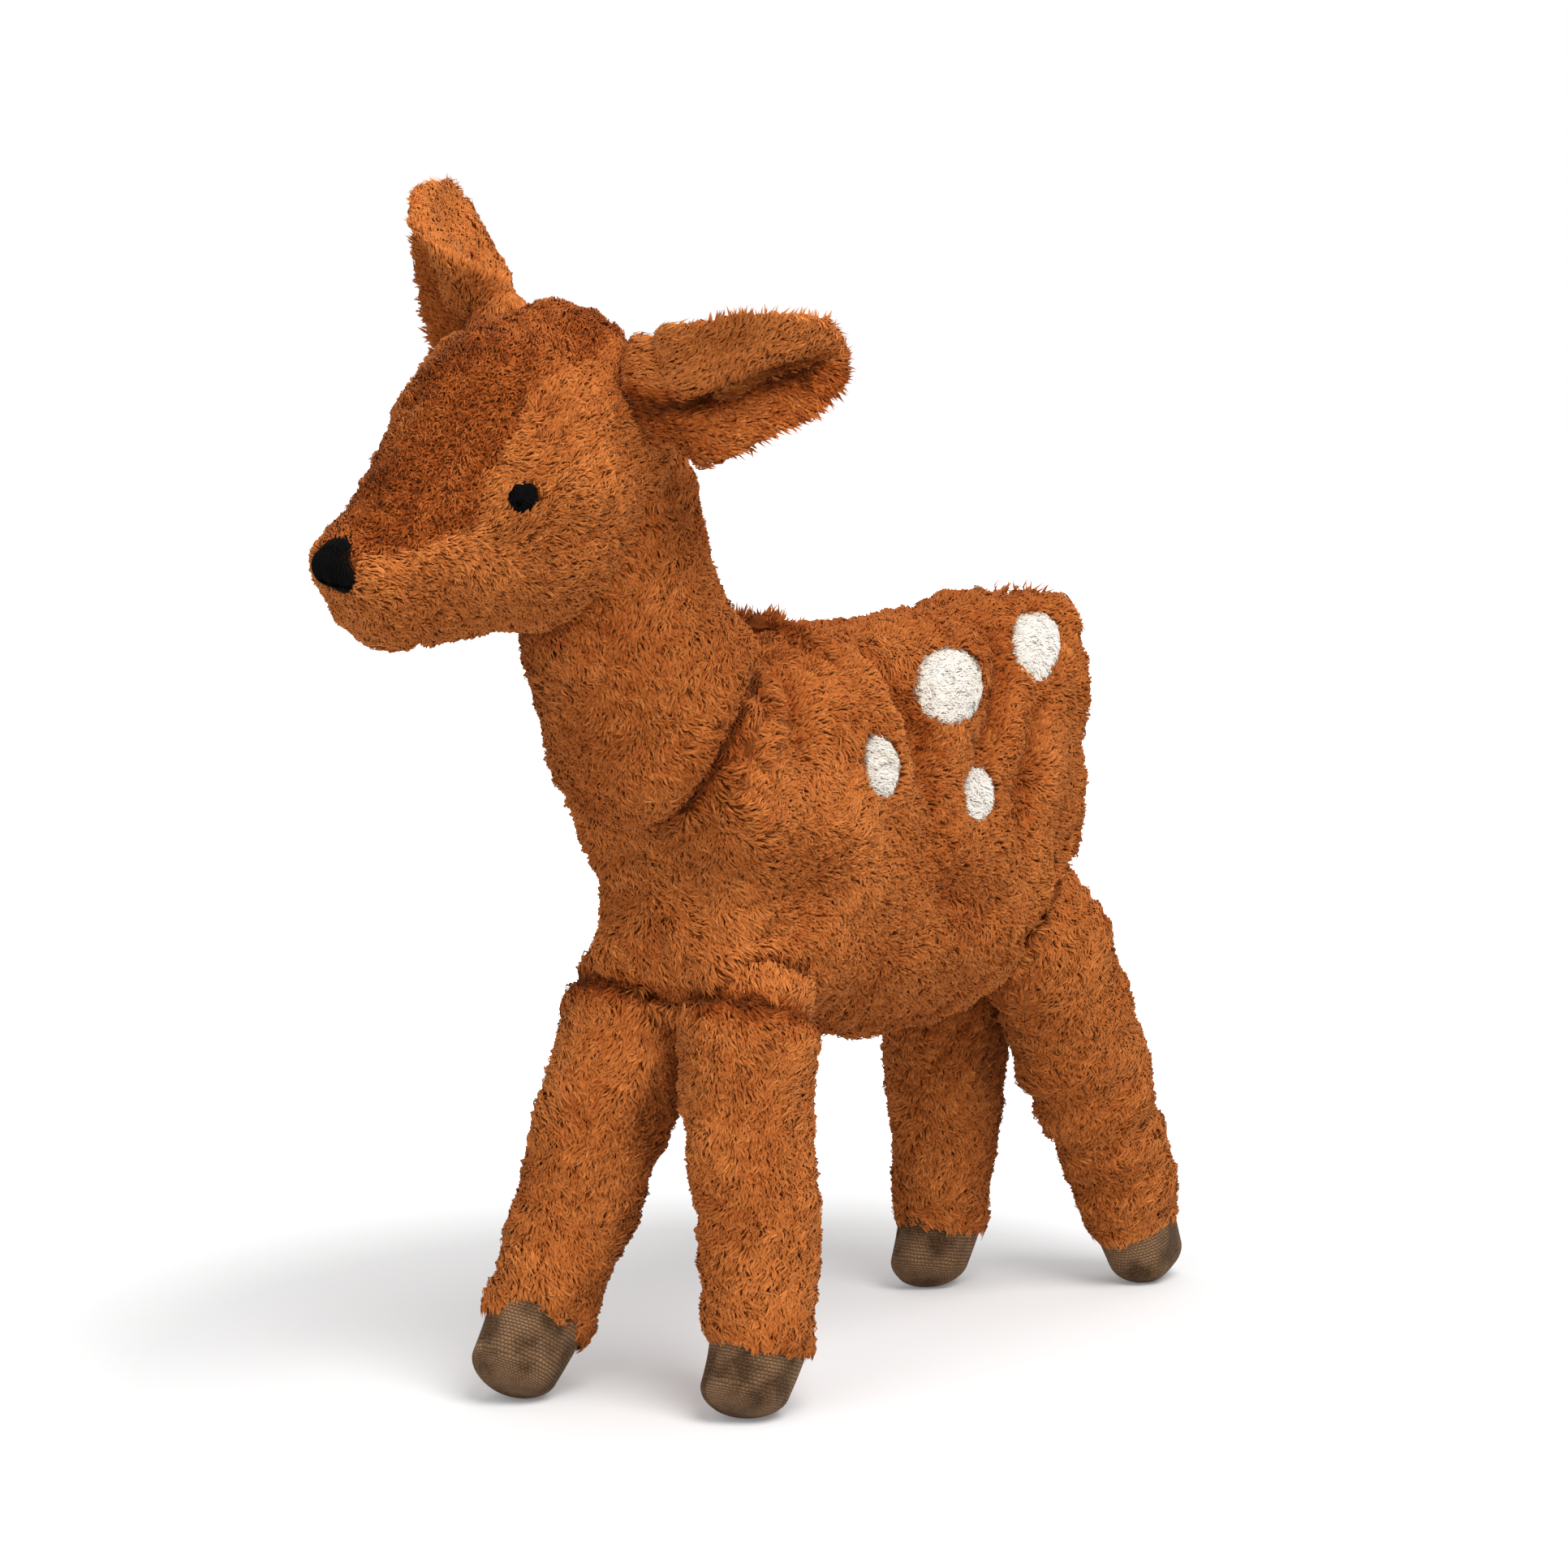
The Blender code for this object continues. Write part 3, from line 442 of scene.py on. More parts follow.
def growPile(name, surface, style, lean, seed, keep=None, tone=None, hidden=(), bare=(), size=None):
    # one tuft: a root, three points across its ridge, and a drooping tip
    roots, up = surface.scatter(style["spacing"], seed, keep)
    rng = np.random.default_rng(seed + 1)
    for other, margin in hidden:
        stay = other.depth(roots) < margin
        roots, up = roots[stay], up[stay]
    number = len(roots)
    column = (number, 1)
    yaw = (ripples(roots, style["swirlSize"], seed + 2) * style["swirl"]
           + ripples(roots, style["swirlSize"] / 4, seed + 3) * style["swirl"] * 0.55
           + rng.normal(0, style["stray"], number))
    ahead = comb(lean(roots), up, yaw)
    grown = size(roots)[:, None] if size else 1
    length = style["length"] * rng.uniform(0.72, 1.25, column) * grown
    width = style["width"] * rng.uniform(0.7, 1.3, column) * np.minimum(grown + 0.25, 1)
    lift = style["lift"] * rng.uniform(0.75, 1.25, column) * grown
    lift *= (1 + 0.3 * ripples(roots, 0.0075, seed + 4) + 0.22 * ripples(roots, 0.0036, 10))[:, None]
    lift = np.maximum(lift, 0.0003)
    roll = rng.normal(0, 0.38, column)
    across = np.cross(ahead, up)
    side = across * np.cos(roll) + up * np.sin(roll)
    curl = rng.normal(0, style["curl"], column) * length
    foot, middle, tip = (
        roots + ahead * (length * t) + up * (lift * height) + across * (curl * swing)
        for t, height, swing in ((0, -0.3, 0), (0.5, 1.0, 0.35), (1, 1.0 - style["droop"], 1)))
    clump = np.stack([ripples(roots, 0.0036, seed + 5 + k) for k in range(3)], 1)
    clump -= up * (clump * up).sum(1)[:, None]
    middle = middle + clump * style["clump"] * 0.4
    tip = tip + clump * style["clump"]
    stay = np.ones(number, bool)
    for spot in bare:
        for point in (foot, middle * 0.35 + tip * 0.65):
            stay &= outOfSpot(point, spot) > 1 + 0.06 * rng.normal(size=number)
    offset, peak = side * (width * 0.5), middle + np.cross(side, ahead) * (width * 0.3)
    tufts = np.stack([foot, middle - offset, peak, middle + offset, tip], 1)[stay]
    # each tuft's colour varies at random and in broad patches; the 0.0036 ripple (seed 10) is the same one
    # that lifts the tufts above, so raised clumps are painted lighter and sunk ones darker, painted highlight
    # and shade; the piece's own function then adds its painted shade, or the spots' rim colour
    shade = 0.5 + rng.normal(0, 0.11, number) + 0.13 * ripples(roots, 0.034, 8)
    shade += 0.11 * ripples(roots, 0.011, 9) + 0.12 * ripples(roots, 0.0036, 10)
    if tone:
        shade += tone(roots)
    shade = np.clip(shade, -0.5, 1)[stay]
    order = np.arange(len(tufts))
    faces = np.array([0, 3, 2, 0, 2, 1, 2, 3, 4, 1, 2, 4])
    marks = np.array([(.5, 0), (0, .5), (.5, .5), (1, .5), (.5, 1)])
    mesh = bpy.data.meshes.new(name)
    mesh.vertices.add(len(order) * 5)
    give(mesh.vertices, "co", tufts)
    mesh.loops.add(len(order) * 12)
    give(mesh.loops, "vertex_index", faces[None] + order[:, None] * 5, np.int32)
    mesh.polygons.add(len(order) * 4)
    give(mesh.polygons, "loop_start", np.arange(len(order) * 4) * 3, np.int32)
    mesh.update()
    strand = np.tile(marks[faces], (len(order), 1))
    give(mesh.uv_layers.new(name="strand").data, "uv", strand)
    cells = math.ceil(math.sqrt(len(order)))
    home = np.repeat(np.stack([order % cells, order // cells], 1), 12, 0)
    give(mesh.uv_layers.new(name="OFBake").data, "uv", (home + 0.12 + strand * 0.76) / cells)
    give(mesh.attributes.new("tone", "FLOAT", "POINT").data, "value", np.repeat(shade, 5))
    print(name, len(order), "tufts")
    return asPiece(name, mesh)


def steady(*way):
    return lambda roots: np.tile(way, (len(roots), 1)).astype(float)


torso = {
    "length": 0.204, "width": 0.088, "height": 0.146, "back": 0.254, "chest": 0.098,
    "sections": [  # place along, spine height, top, bottom, half width, narrowing, squareness
        (0.105, 0.48, 0.9, 0.13, 0.86, -0.26, 0.72), (0.25, 0.45, 0.98, 0.06, 0.98, -0.11, 0.74),
        (0.45, 0.48, 0.96, 0.01, 1.03, 0.03, 0.8), (0.64, 0.5, 0.955, 0.01, 1.01, 0.05, 0.8),
        (0.8, 0.5, 0.985, 0.06, 0.96, 0.02, 0.7), (0.915, 0.49, 1.015, 0.2, 0.87, -0.03, 0.56),
    ],
    "caps": (0.078, 0.071), "capPower": 0.52, "inset": 0.0021, "fill": 0.7,
    "folds": [  # slack of the cloth down the flank: how far it stands out, its width, points (y, z)
        (0.0042, 0.008, [(-0.036, 0.252), (-0.031, 0.241), (-0.025, 0.226), (-0.023, 0.205),
                         (-0.021, 0.178)]),
        (-0.0062, 0.009, [(-0.02, 0.245), (-0.012, 0.226), (-0.008, 0.208), (-0.004, 0.185)]),
        (-0.0056, 0.006, [(0.061, 0.25), (0.05, 0.232), (0.036, 0.214), (0.024, 0.202), (0.017, 0.187)]),
        (0.0034, 0.01, [(0.034, 0.243), (0.02, 0.229), (0.009, 0.218)]),
        (-0.0048, 0.007, [(0.067, 0.221), (0.058, 0.208), (0.05, 0.19), (0.046, 0.168)]),
        (0.0028, 0.008, [(0.08, 0.226), (0.073, 0.212), (0.066, 0.192), (0.062, 0.172)]),
        (-0.0034, 0.006, [(-0.066, 0.232), (-0.069, 0.22), (-0.068, 0.203)]),
        (0.003, 0.012, [(-0.052, 0.215), (-0.05, 0.195), (-0.04, 0.172), (-0.022, 0.158)]),
        (-0.003, 0.009, [(-0.01, 0.17), (0.01, 0.158), (0.032, 0.152)]),
    ],
    "front": [  # height, and how far the chest swells
        (0.14, 0.0025), (0.148, 0.003), (0.153, 0.001), (0.159, -0.0015), (0.168, -0.0032), (0.176, 0.0),
        (0.184, 0.0045), (0.19, 0.0042), (0.2, 0.0018), (0.21, 0.0)],
    "rumpTop": [  # place across, and how far the rump's top edge rises
        (-0.026, -0.0034), (-0.014, -0.0034), (-0.009, -0.003), (0, -0.0012), (0.006, -0.0012),
        (0.012, -0.0008), (0.018, 0.0006), (0.024, 0.0024)],
}
spots = [  # name, place along, height up it, half width, half height and lean
    ("LargeFront", 0.568, 0.832, 0.0186, 0.014, 0.42), ("LargeRear", 0.842, 0.895, 0.0112, 0.0136, 0.45),
    ("SmallFront", 0.312, 0.68, 0.0078, 0.0106, -0.05), ("SmallRear", 0.6, 0.575, 0.0066, 0.0102, 0.08),
]
torsoFloor = torso["back"] - torso["height"]


def torsoForm():
    spine, sections = [], []
    for along, height, top, bottom, width, pinch, power in torso["sections"]:
        spine.append((0, torso["length"] * along - torso["chest"], torsoFloor + torso["height"] * height))
        sections.append((torso["width"] / 2 * width, torso["height"] * (top - height),
                         torso["height"] * (height - bottom), 0, pinch, power))
    caps = [torso["length"] * cap for cap in torso["caps"]]
    return SoftForm(spine, sections, caps, capPower=torso["capPower"])


def awayFromLine(points, line):
    # distance in the flank's plane to a line of (y, z) points, and how far along it, 0 to 1
    flat, line = points[:, 1:], np.array(line)
    best, along = np.full(len(flat), 1.0), np.zeros(len(flat))
    for k, (a, b) in enumerate(zip(line, line[1:])):
        t = share(((flat - a) @ (b - a)) / ((b - a) @ (b - a)))
        gone = norm(flat - a - t[:, None] * (b - a), axis=1)
        along = np.where(gone < best, (k + t) / (len(line) - 1), along)
        best = np.minimum(gone, best)
    return best, along


def slack(points):
    moved = np.zeros(len(points))
    for out, width, line in torso["folds"]:
        away, along = awayFromLine(points, line)
        moved += out * swell(away, width) * np.sin(share(along * 0.8 + 0.12) * math.pi)
    return moved * share(np.abs(points[:, 0]) / 0.02)


def shapeTorso(points, normals):
    x, y, z = points.T
    points = points.copy()
    right, ahead = photoRight[:2]
    middle = share((y + 0.065) / 0.02) * share((0.082 - y) / 0.045)
    points[:, 2] += 0.0022 * middle * share((z - 0.2) / 0.03)
    points[:, 2] += (readRows(torso["rumpTop"], x) * share((y - 0.088) / 0.01)
                     * share((z - 0.225) / 0.015))
    rear = share((right * np.abs(x) + ahead * y - 0.066) / 0.022)
    chest = share((right * np.abs(x) - ahead * y - 0.05) / 0.022) * readRows(torso["front"], z)
    hip = 0.0022 * rear * share((z - 0.145) / 0.02) * share((0.247 - z) / 0.015)
    corner = 0.0018 * rear * swell(z - 0.247, 0.008)
    points[:, 0] += np.sign(x) * right * (chest - hip + corner)
    points[:, 1] -= ahead * (chest + hip - corner)
    rise = slack(points) + 0.0008 * ripples(points, 0.03, 11) + 0.0005 * ripples(points, 0.013, 12)
    rise -= 0.001 * swell(points[:, 0], 0.0022)  # seam along the back and the belly
    return points + normals * rise[:, None]


torsoSkin = makeSkin("torsoSkin", torsoForm(), 22, 176, 20, torso["inset"])
rearEnd = pointsOf(torsoSkin)[:, 1].max()
panels = [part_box("torso_left_panel"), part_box("torso_right_panel")]
stand = Vector(((min(box[0].x for box in panels) + max(box[1].x for box in panels)) / 2,
                max(box[1].y for box in panels) - rearEnd - torso["inset"], 0))
print("stand", [round(v, 5) for v in stand])
sculpt(torsoSkin, shapeTorso)

neck = {
    "width": 0.074, "topWidth": 0.063, "root": (0, -0.095, 0.226), "top": (0, -0.125, 0.294),
    "sections": [  # place along, forward bow, how far it has narrowed, depth to width
        (0.0, 0.0, 0.0, 1.03), (0.4, 0.055, 0.45, 1.01), (0.7, 0.04, 0.9, 1.0), (1.0, 0.0, 1.0, 1.0),
    ],
    "inset": 0.0021, "fill": 0.75,
}


def neckForm():
    root = Vector(neck["root"])
    way = Vector(neck["top"]) - root
    bow = Vector((1, 0, 0)).cross(way)
    spine, sections = [], []
    for along, forward, narrowed, deep in neck["sections"]:
        spine.append(root + way * along + bow * forward)
        half = (neck["width"] + (neck["topWidth"] - neck["width"]) * narrowed) / 2
        sections.append((half, half * deep, half * deep, 0, 0, 1))
    return SoftForm(spine, sections, (sections[0][1], sections[-1][1]))


def overNeck(points):
    # above 0 where the torso lies over the neck, in metres from the seam
    behind = points[:, 1] + 0.06 + 0.8 * (0.247 - points[:, 2])
    return behind + 0.026 * (points[:, 0] / 0.036) ** 2


neckSkin = makeSkin("neckSkin", neckForm(), 10, 96, 12, neck["inset"])
sculpt(neckSkin, lambda points, normals: points + normals * (0.0007 * ripples(points, 0.028, 21))[:, None])
sculpt(neckSkin, lambda points, normals: points - normals * (
    0.0042 * swell(overNeck(points) - 0.001, 0.006)
    - 0.0016 * swell(overNeck(points) + 0.016, 0.01))[:, None])
neckSurface = Surface(neckSkin)

head = {
    "length": 0.128, "width": 0.084, "height": 0.094, "reach": 0.152, "up": 0.314, "shift": 0.007,
    "turn": 9, "nod": 20, "tilt": 13,
    "sections": [  # place along from the back, spine height, half width, rise and drop
        (0.22, 0.0, 0.92, 0.42, 0.46), (0.4, 0.0, 1.0, 0.445, 0.57), (0.58, -0.01, 0.8, 0.31, 0.57),
        (0.76, -0.06, 0.56, 0.185, 0.44), (0.9, -0.12, 0.44, 0.14, 0.3),
    ],
    "caps": (0.205, 0.1), "pinch": 0.16, "power": 0.94, "capPower": 0.82, "skull": 0.35,
    "inset": 0.002, "fill": 0.85,
    "gusset": [(-0.1, 0.5), (0.06, 0.64), (0.28, 0.84), (0.5, 0.95), (0.72, 0.97), (0.94, 0.46), (1.1, 0.38)],
    "gussetWidth": 0.046,
    "jaw": [  # place from the ears forward, and how full the jaw is
        (-0.08, 0), (-0.076, 0.001), (-0.07, 0.0018), (-0.064, 0.0032), (-0.054, 0.004), (-0.044, 0.0024),
        (-0.036, 0.0004), (-0.029, -0.0008), (-0.018, 0)],
    "brow": [(-0.08, 0.002), (-0.07, 0.0016), (-0.061, -0.0004), (-0.046, -0.001), (-0.033, -0.0002),
             (-0.025, 0.001), (-0.015, 0.0018), (0, 0.0004), (0.01, -0.0006), (0.024, -0.0006)],
}
headPlace = Matrix.Translation((-head["shift"], -head["reach"], head["up"]))
for turn, axis in ((-head["turn"], "Z"), (head["nod"], "X"), (head["tilt"], "Y")):
    headPlace = headPlace @ Matrix.Rotation(math.radians(turn), 4, axis)


def headForm():
    spine, sections = [], []
    for along, height, width, rise, drop in head["sections"]:
        spine.append((0, head["length"] * (head["skull"] - along), head["height"] * height))
        sections.append((head["width"] / 2 * width, head["height"] * rise, head["height"] * drop,
                         0, head["pinch"], head["power"]))
    caps = [head["length"] * cap for cap in head["caps"]]
    return SoftForm(spine, sections, caps, (-1, 0, 0), head["capPower"])


def inHead(points):
    back = np.array(headPlace.inverted())
    return points @ back[:3, :3].T + back[:3, 3]


def onGusset(points):
    # above 0 inside the forehead strip, in metres from its seam
    local = inHead(points)
    rows = [(head["length"] * (head["skull"] - along), head["gussetWidth"] / 2 * half)
            for along, half in head["gusset"]][::-1]
    return np.where(local[:, 2] > -0.002, readRows(rows, local[:, 1]) - np.abs(local[:, 0]), -0.02)


def shapeHead(points, normals):
    x, y, z = inHead(points).T
    rise = 0.0006 * ripples(points, 0.022, 31) + 0.0003 * ripples(points, 0.011, 32)
    rise -= 0.0006 * swell(onGusset(points), 0.0016)
    rise -= 0.0009 * swell(x, 0.0016) * (z < -0.01)  # seam under the chin
    rise += readRows(head["brow"], y) * share((z + 0.012) / 0.012)
    rise += 0.003 * swell(y - 0.022, 0.012) * swell(np.abs(x) - 0.01, 0.012) * (z > 0.015)
    sink = readRows(head["jaw"], y) * share((-0.012 - z) / 0.015)
    return points + normals * rise[:, None] + outOf(headPlace, np.array([[0, 0, -1]])) * sink[:, None]


headSkin = makeSkin("headSkin", headForm(), 14, 112, 16, head["inset"], headPlace)
sculpt(headSkin, shapeHead)
headSurface = Surface(headSkin)

legs = {
    "gap": 0.0006, "hoofStep": 0.0012, "sole": 0.0005, "hoofHeight": 0.026, "inset": 0.002, "fill": 0.8,
    "sections": [  # way down, bow back, half width and half depth
        (0.0, 0.0, 1.0, 1.0), (0.28, 0.015, 0.91, 1.0), (0.55, 0.025, 0.78, 0.87),
        (0.78, 0.015, 0.7, 0.78), (0.92, -0.012, 0.65, 0.72),
    ],
    "cap": 0.08, "toePinch": 0.42,
    "rows": {  # side, hip reach, hip height, hip spread, hip depth, foot spread, step
        "frontLeft": (1, -0.078, 0.126, 0.024, 0.051, 0.037, -0.015),
        "frontRight": (-1, -0.078, 0.126, 0.024, 0.051, 0.037, -0.046),
        "rearLeft": (1, 0.091, 0.133, 0.0215, 0.052, 0.0265, 0.063),
        "rearRight": (-1, 0.091, 0.133, 0.0215, 0.052, 0.0265, 0.006),
    },
    "feet": {  # how far the foot and its toe are set, to the left and to the back
        "frontLeft": (0.0002, 0.0002, -0.0026, -0.0046), "frontRight": (-0.0012, -0.0008, -0.0014, -0.003),
        "rearLeft": (0, 0, 0.002, 0.005), "rearRight": (-0.0004, -0.0004, -0.0024, -0.004)},
    "slim": {  # height, spread, and how far either side draws in
        "frontLeft": (0.1, 0.024, 0.0032, 0.0006), "frontRight": (0.086, 0.013, 0.0022, 0),
        "rearLeft": (0.15, 0.01, 0.003, 0)},
}


def legForm(side, reach, hip, spread, depth, footSpread, step):
    half = spread - legs["gap"] / 2
    sections = [(half * w, depth / 2 * d, depth / 2 * d, 0, 0, 1) for _, _, w, d in legs["sections"]]
    turns = np.arange(18) * math.tau / 18
    foot = 0
    for _ in range(6):  # the sole settles on the floor
        spine = []
        for down, bow, _, _ in legs["sections"]:
            sideways = spread + (footSpread - spread) * down * down * (3 - 2 * down)
            spine.append((side * sideways, reach + step * down + hip * bow, hip + (foot - hip) * down))
        form = SoftForm(spine, sections, (depth / 2, hip * legs["cap"]))
        lowest = min(form.ring(1, 1, math.pi / 8 * k, turns)[:, 2].min() for k in range(4))
        foot -= lowest + legs["hoofStep"] + legs["sole"]
    return form


def overLeg(points, name):
    # above 0 where the torso lies over the leg
    if name.startswith("front"):
        return points[:, 2] - 0.129 + 0.338 * (points[:, 1] + 0.064)
    return points[:, 2] - 0.121 - 0.683 * (points[:, 1] - 0.026)


legShapes, legSkins, legSurfaces = {}, {}, {}
for number, (name, row) in enumerate(legs["rows"].items()):
    def shapeLeg(points, normals):
        rise = 0.001 * ripples(points, 0.026, 41 + number) + 0.0004 * ripples(points, 0.012, 46)
        rise -= 0.0036 * swell(overLeg(points, name) + 0.001, 0.005)
        if name.startswith("rear"):
            rise += 0.0008
        if name in legs["slim"]:
            height, spread, right, left = legs["slim"][name]
            turned = normals @ photoRight
            rise -= swell(points[:, 2] - height, spread) * share(np.abs(turned) * 1.6 - 0.2) * np.where(
                turned > 0, right, left)
        moved = np.array([*legs["feet"][name][:2], 0]) * share((0.115 - points[:, 2]) / 0.03)[:, None]
        return points + moved + normals * rise[:, None]

    legShapes[name] = legForm(*row)
    legSkins[name] = makeSkin(name + "LegSkin", legShapes[name], 10, 72, 10, legs["inset"])
    sculpt(legSkins[name], shapeLeg)
    legSurfaces[name] = Surface(legSkins[name])
print("skins made")


def tuck(points, normals, surface, over, proud, under, hemWidth, near=0.008):
    # cloth sewn over a limb: it lies on it where "over" is above 0 and goes under it elsewhere
    moved = points.copy()
    for k in np.flatnonzero(((points > surface.low - near) & (points < surface.high + near)).all(1)):
        place, normal, _, _ = surface.tree.find_nearest(Vector(points[k]))
        out = normal.dot(Vector(points[k]) - place)
        facing = normal.dot(Vector(normals[k])) > 0.25
        if over[k] > 0 and facing and -0.022 < out < proud:
            hem = min(over[k] / hemWidth, 1)
            rise = proud * hem * (2 - hem) - under * (1 - hem) ** 2
            moved[k] = place + normal * max(out, rise)
        elif over[k] <= 0 and -0.006 < out < (0.014 if facing else 0.005):
            moved[k] = place - normal * (under + 0.0025)
    return moved


def sewTorso(points, normals):
    front = share((-0.07 - points[:, 1]) / 0.015) * share((points[:, 2] - 0.18) / 0.02)
    points = points + np.array([0, -0.011, 0]) * front[:, None]
    points = tuck(points, normals, neckSurface, overNeck(points), 0.004, 0.005, 0.01)
    for name, surface in legSurfaces.items():
        points = tuck(points, normals, surface, overLeg(points, name), 0.005, 0.003, 0.0035)
    return points


def pucker(points, normals):
    # gathers where the neck is sewn in and above the near legs
    spin = np.arctan2(points[:, 0], points[:, 2] - 0.226)
    gather = np.sin(spin * 26 + 2 * np.sin(spin * 5)) * (points[:, 1] < -0.04)
    rise = 0.0011 * swell(np.abs(overNeck(points)) - 0.007, 0.007) * gather
    gather = np.sin(points[:, 1] * 520 + 2 * np.sin(points[:, 1] * 160))
    for name in ("frontLeft", "rearLeft"):
        rise += 0.001 * swell(overLeg(points, name) - 0.006, 0.006) * gather
    return points + normals * rise[:, None]


sculpt(torsoSkin, sewTorso)
smoother = torsoSkin.modifiers.new("even", "SMOOTH")
smoother.factor = 0.5
smoother.iterations = 2
settled = fetch(torsoSkin.evaluated_get(bpy.context.evaluated_depsgraph_get()).to_mesh().vertices, "co")
torsoSkin.modifiers.clear()
setPoints(torsoSkin, settled)
sculpt(torsoSkin, pucker)
torsoSurface = Surface(torsoSkin)
print("torso sewn on")


def cutBelow(piece, place, way, keepUpper):
    # keeps one side of a plane and leaves an open edge there
    bm = bmesh.new()
    bm.from_mesh(piece.data)
    bmesh.ops.bisect_plane(bm, geom=bm.verts[:] + bm.edges[:] + bm.faces[:], plane_co=place, plane_no=way,
                           clear_outer=not keepUpper, clear_inner=keepUpper)
    bm.to_mesh(piece.data)
    bm.free()
    piece.data.update()


pile = {"spacing": 0.00067, "length": 0.005, "width": 0.0008, "lift": 0.0016, "droop": 0.75,
        "curl": 0.12, "swirl": 0.55, "swirlSize": 0.036, "stray": 0.26, "clump": 0.0013}
shortPile = dict(pile, spacing=0.0006, length=0.0027, lift=0.0015, width=0.00056, droop=0.35, swirl=0.8,
                 stray=0.7, clump=0.0004)
facePile = dict(pile, spacing=0.00064, length=0.0038, width=0.00064, lift=0.0012, swirl=0.4, swirlSize=0.03)
earPile = dict(pile, length=0.0044, lift=0.0012, droop=0.95, swirl=0.35, stray=0.2, clump=0.0008)
spotPile = dict(pile, spacing=0.00042, length=0.0048, width=0.00056, lift=0.0016, droop=0.6, swirl=0.35,
                swirlSize=0.02, stray=0.16, clump=0.0004)

spotPlaces = {}
for word, along, height, wide, high, lean in spots:
    for hand, side in hands:
        start = (side * torso["width"], torso["length"] * along - torso["chest"],
                 torso["back"] - torso["height"] * (1 - height))
        placed = torsoSurface.frameOn(start, (-side, 0, 0), (0, 0, 1))
        spotPlaces["spot" + word + hand] = (placed, wide, high, lean * side)


def leanTorso(roots):
    low = share((0.2 - roots[:, 2]) / 0.08)
    return np.stack([0 * low, 1 - 0.4 * low, -0.12 - 0.7 * low], 1)


# painted shade and highlight: darker in the hollows of the cloth's folds and lighter on their ridges, darker
# over the back, and darker along the neck seam and the left legs' hems
def paintedShadeTorso(roots):
    fold = np.clip(slack(roots) / 0.005, -1, 1)
    top = share((roots[:, 2] - 0.205) / 0.05)
    seam = swell(overNeck(roots), 0.0036) * (roots[:, 1] < -0.03) * share((0.246 - roots[:, 2]) / 0.01)
    hems = sum(swell(overLeg(roots, name), 0.003) for name in ("frontLeft", "rearLeft"))
    return 0.5 * np.minimum(fold, 0) + 0.22 * np.maximum(fold, 0) + 0.1 - 0.34 * top - 0.7 * seam - 0.5 * hems


torsoPile = []
hidden = [(neckSurface, 0.008)] + [(surface, 0.006) for surface in legSurfaces.values()]
for hand, side in hands:
    for word, start, end in (("Front", -0.2, -0.02), ("Middle", -0.02, 0.045), ("Rear", 0.045, 0.2)):
        torsoPile.append(growPile(
            "torsoPile" + hand + word, torsoSurface, pile, leanTorso, 100 + len(torsoPile), tone=paintedShadeTorso,
            keep=lambda points: (points[:, 0] * side >= 0) & (points[:, 1] >= start) & (points[:, 1] < end),
            hidden=hidden, bare=list(spotPlaces.values())))


# painted shade: darker where the torso's edge lies over the neck, and toward the top under the head
def paintedShadeNeck(roots):
    return (-0.1 - 0.85 * swell(overNeck(roots) + 0.001, 0.0045)
            - 0.15 * share((roots[:, 2] - 0.275) / 0.02))


neckPile = growPile("neckPile", neckSurface, pile, steady(0, 0.35, -1), 200, tone=paintedShadeNeck,
                    keep=lambda points: overNeck(points) < 0.008, hidden=[(headSurface, 0.008)])


def onHead(x, y, z, way):
    # from a place beside the head, in parts of its size, to where the ray meets it
    start = headPlace @ Vector((head["width"] * x, head["length"] * y, head["height"] * z))
    turned = headPlace.to_3x3()
    return headSurface.frameOn(start, turned @ Vector(way), turned @ Vector((0, 0, 1)))


nosePlace = onHead(0, -1, -0.055, (0, 1, 0))
eyePlaces = {hand: onHead(side, -0.233, 0.055, (-side, 0, 0)) for hand, side in hands}


def leanHead(roots):
    local = inHead(roots)
    ways = unit(local - np.array([0, -head["length"] * 0.66, -0.004]))
    ways[:, 2] -= 0.35 * share((0.01 - local[:, 2]) / 0.03)
    return outOf(headPlace, ways)


# painted shade: darker over the top of the head and in a narrow band along the forehead strip's seam
def paintedShadeHead(roots):
    height = inHead(roots)[:, 2]
    return 0.14 - 0.24 * share((height - 0.022) / 0.02) - 0.25 * swell(onGusset(roots), 0.0012)


faceBare = [(nosePlace, 0.0078, 0.007, 0)] + [(place, 0.0041, 0.0041, 0) for place in eyePlaces.values()]
headPile = [growPile(
    "head" + hand + "Pile", headSurface, facePile, leanHead, 300 + side, tone=paintedShadeHead,
    keep=lambda points: (onGusset(points) < 0.0006) & (inHead(points)[:, 0] * side >= 0),
    hidden=[(neckSurface, 0.008)], bare=faceBare) for hand, side in hands]
headPile.append(growPile(
    "foreheadPile", headSurface, shortPile, lambda roots: outOf(headPlace, steady(0, -1, -0.2)(roots)), 310,
    keep=lambda points: onGusset(points) >= -0.0008, tone=lambda roots: -0.48, hidden=[(neckSurface, 0.008)],
    bare=faceBare))

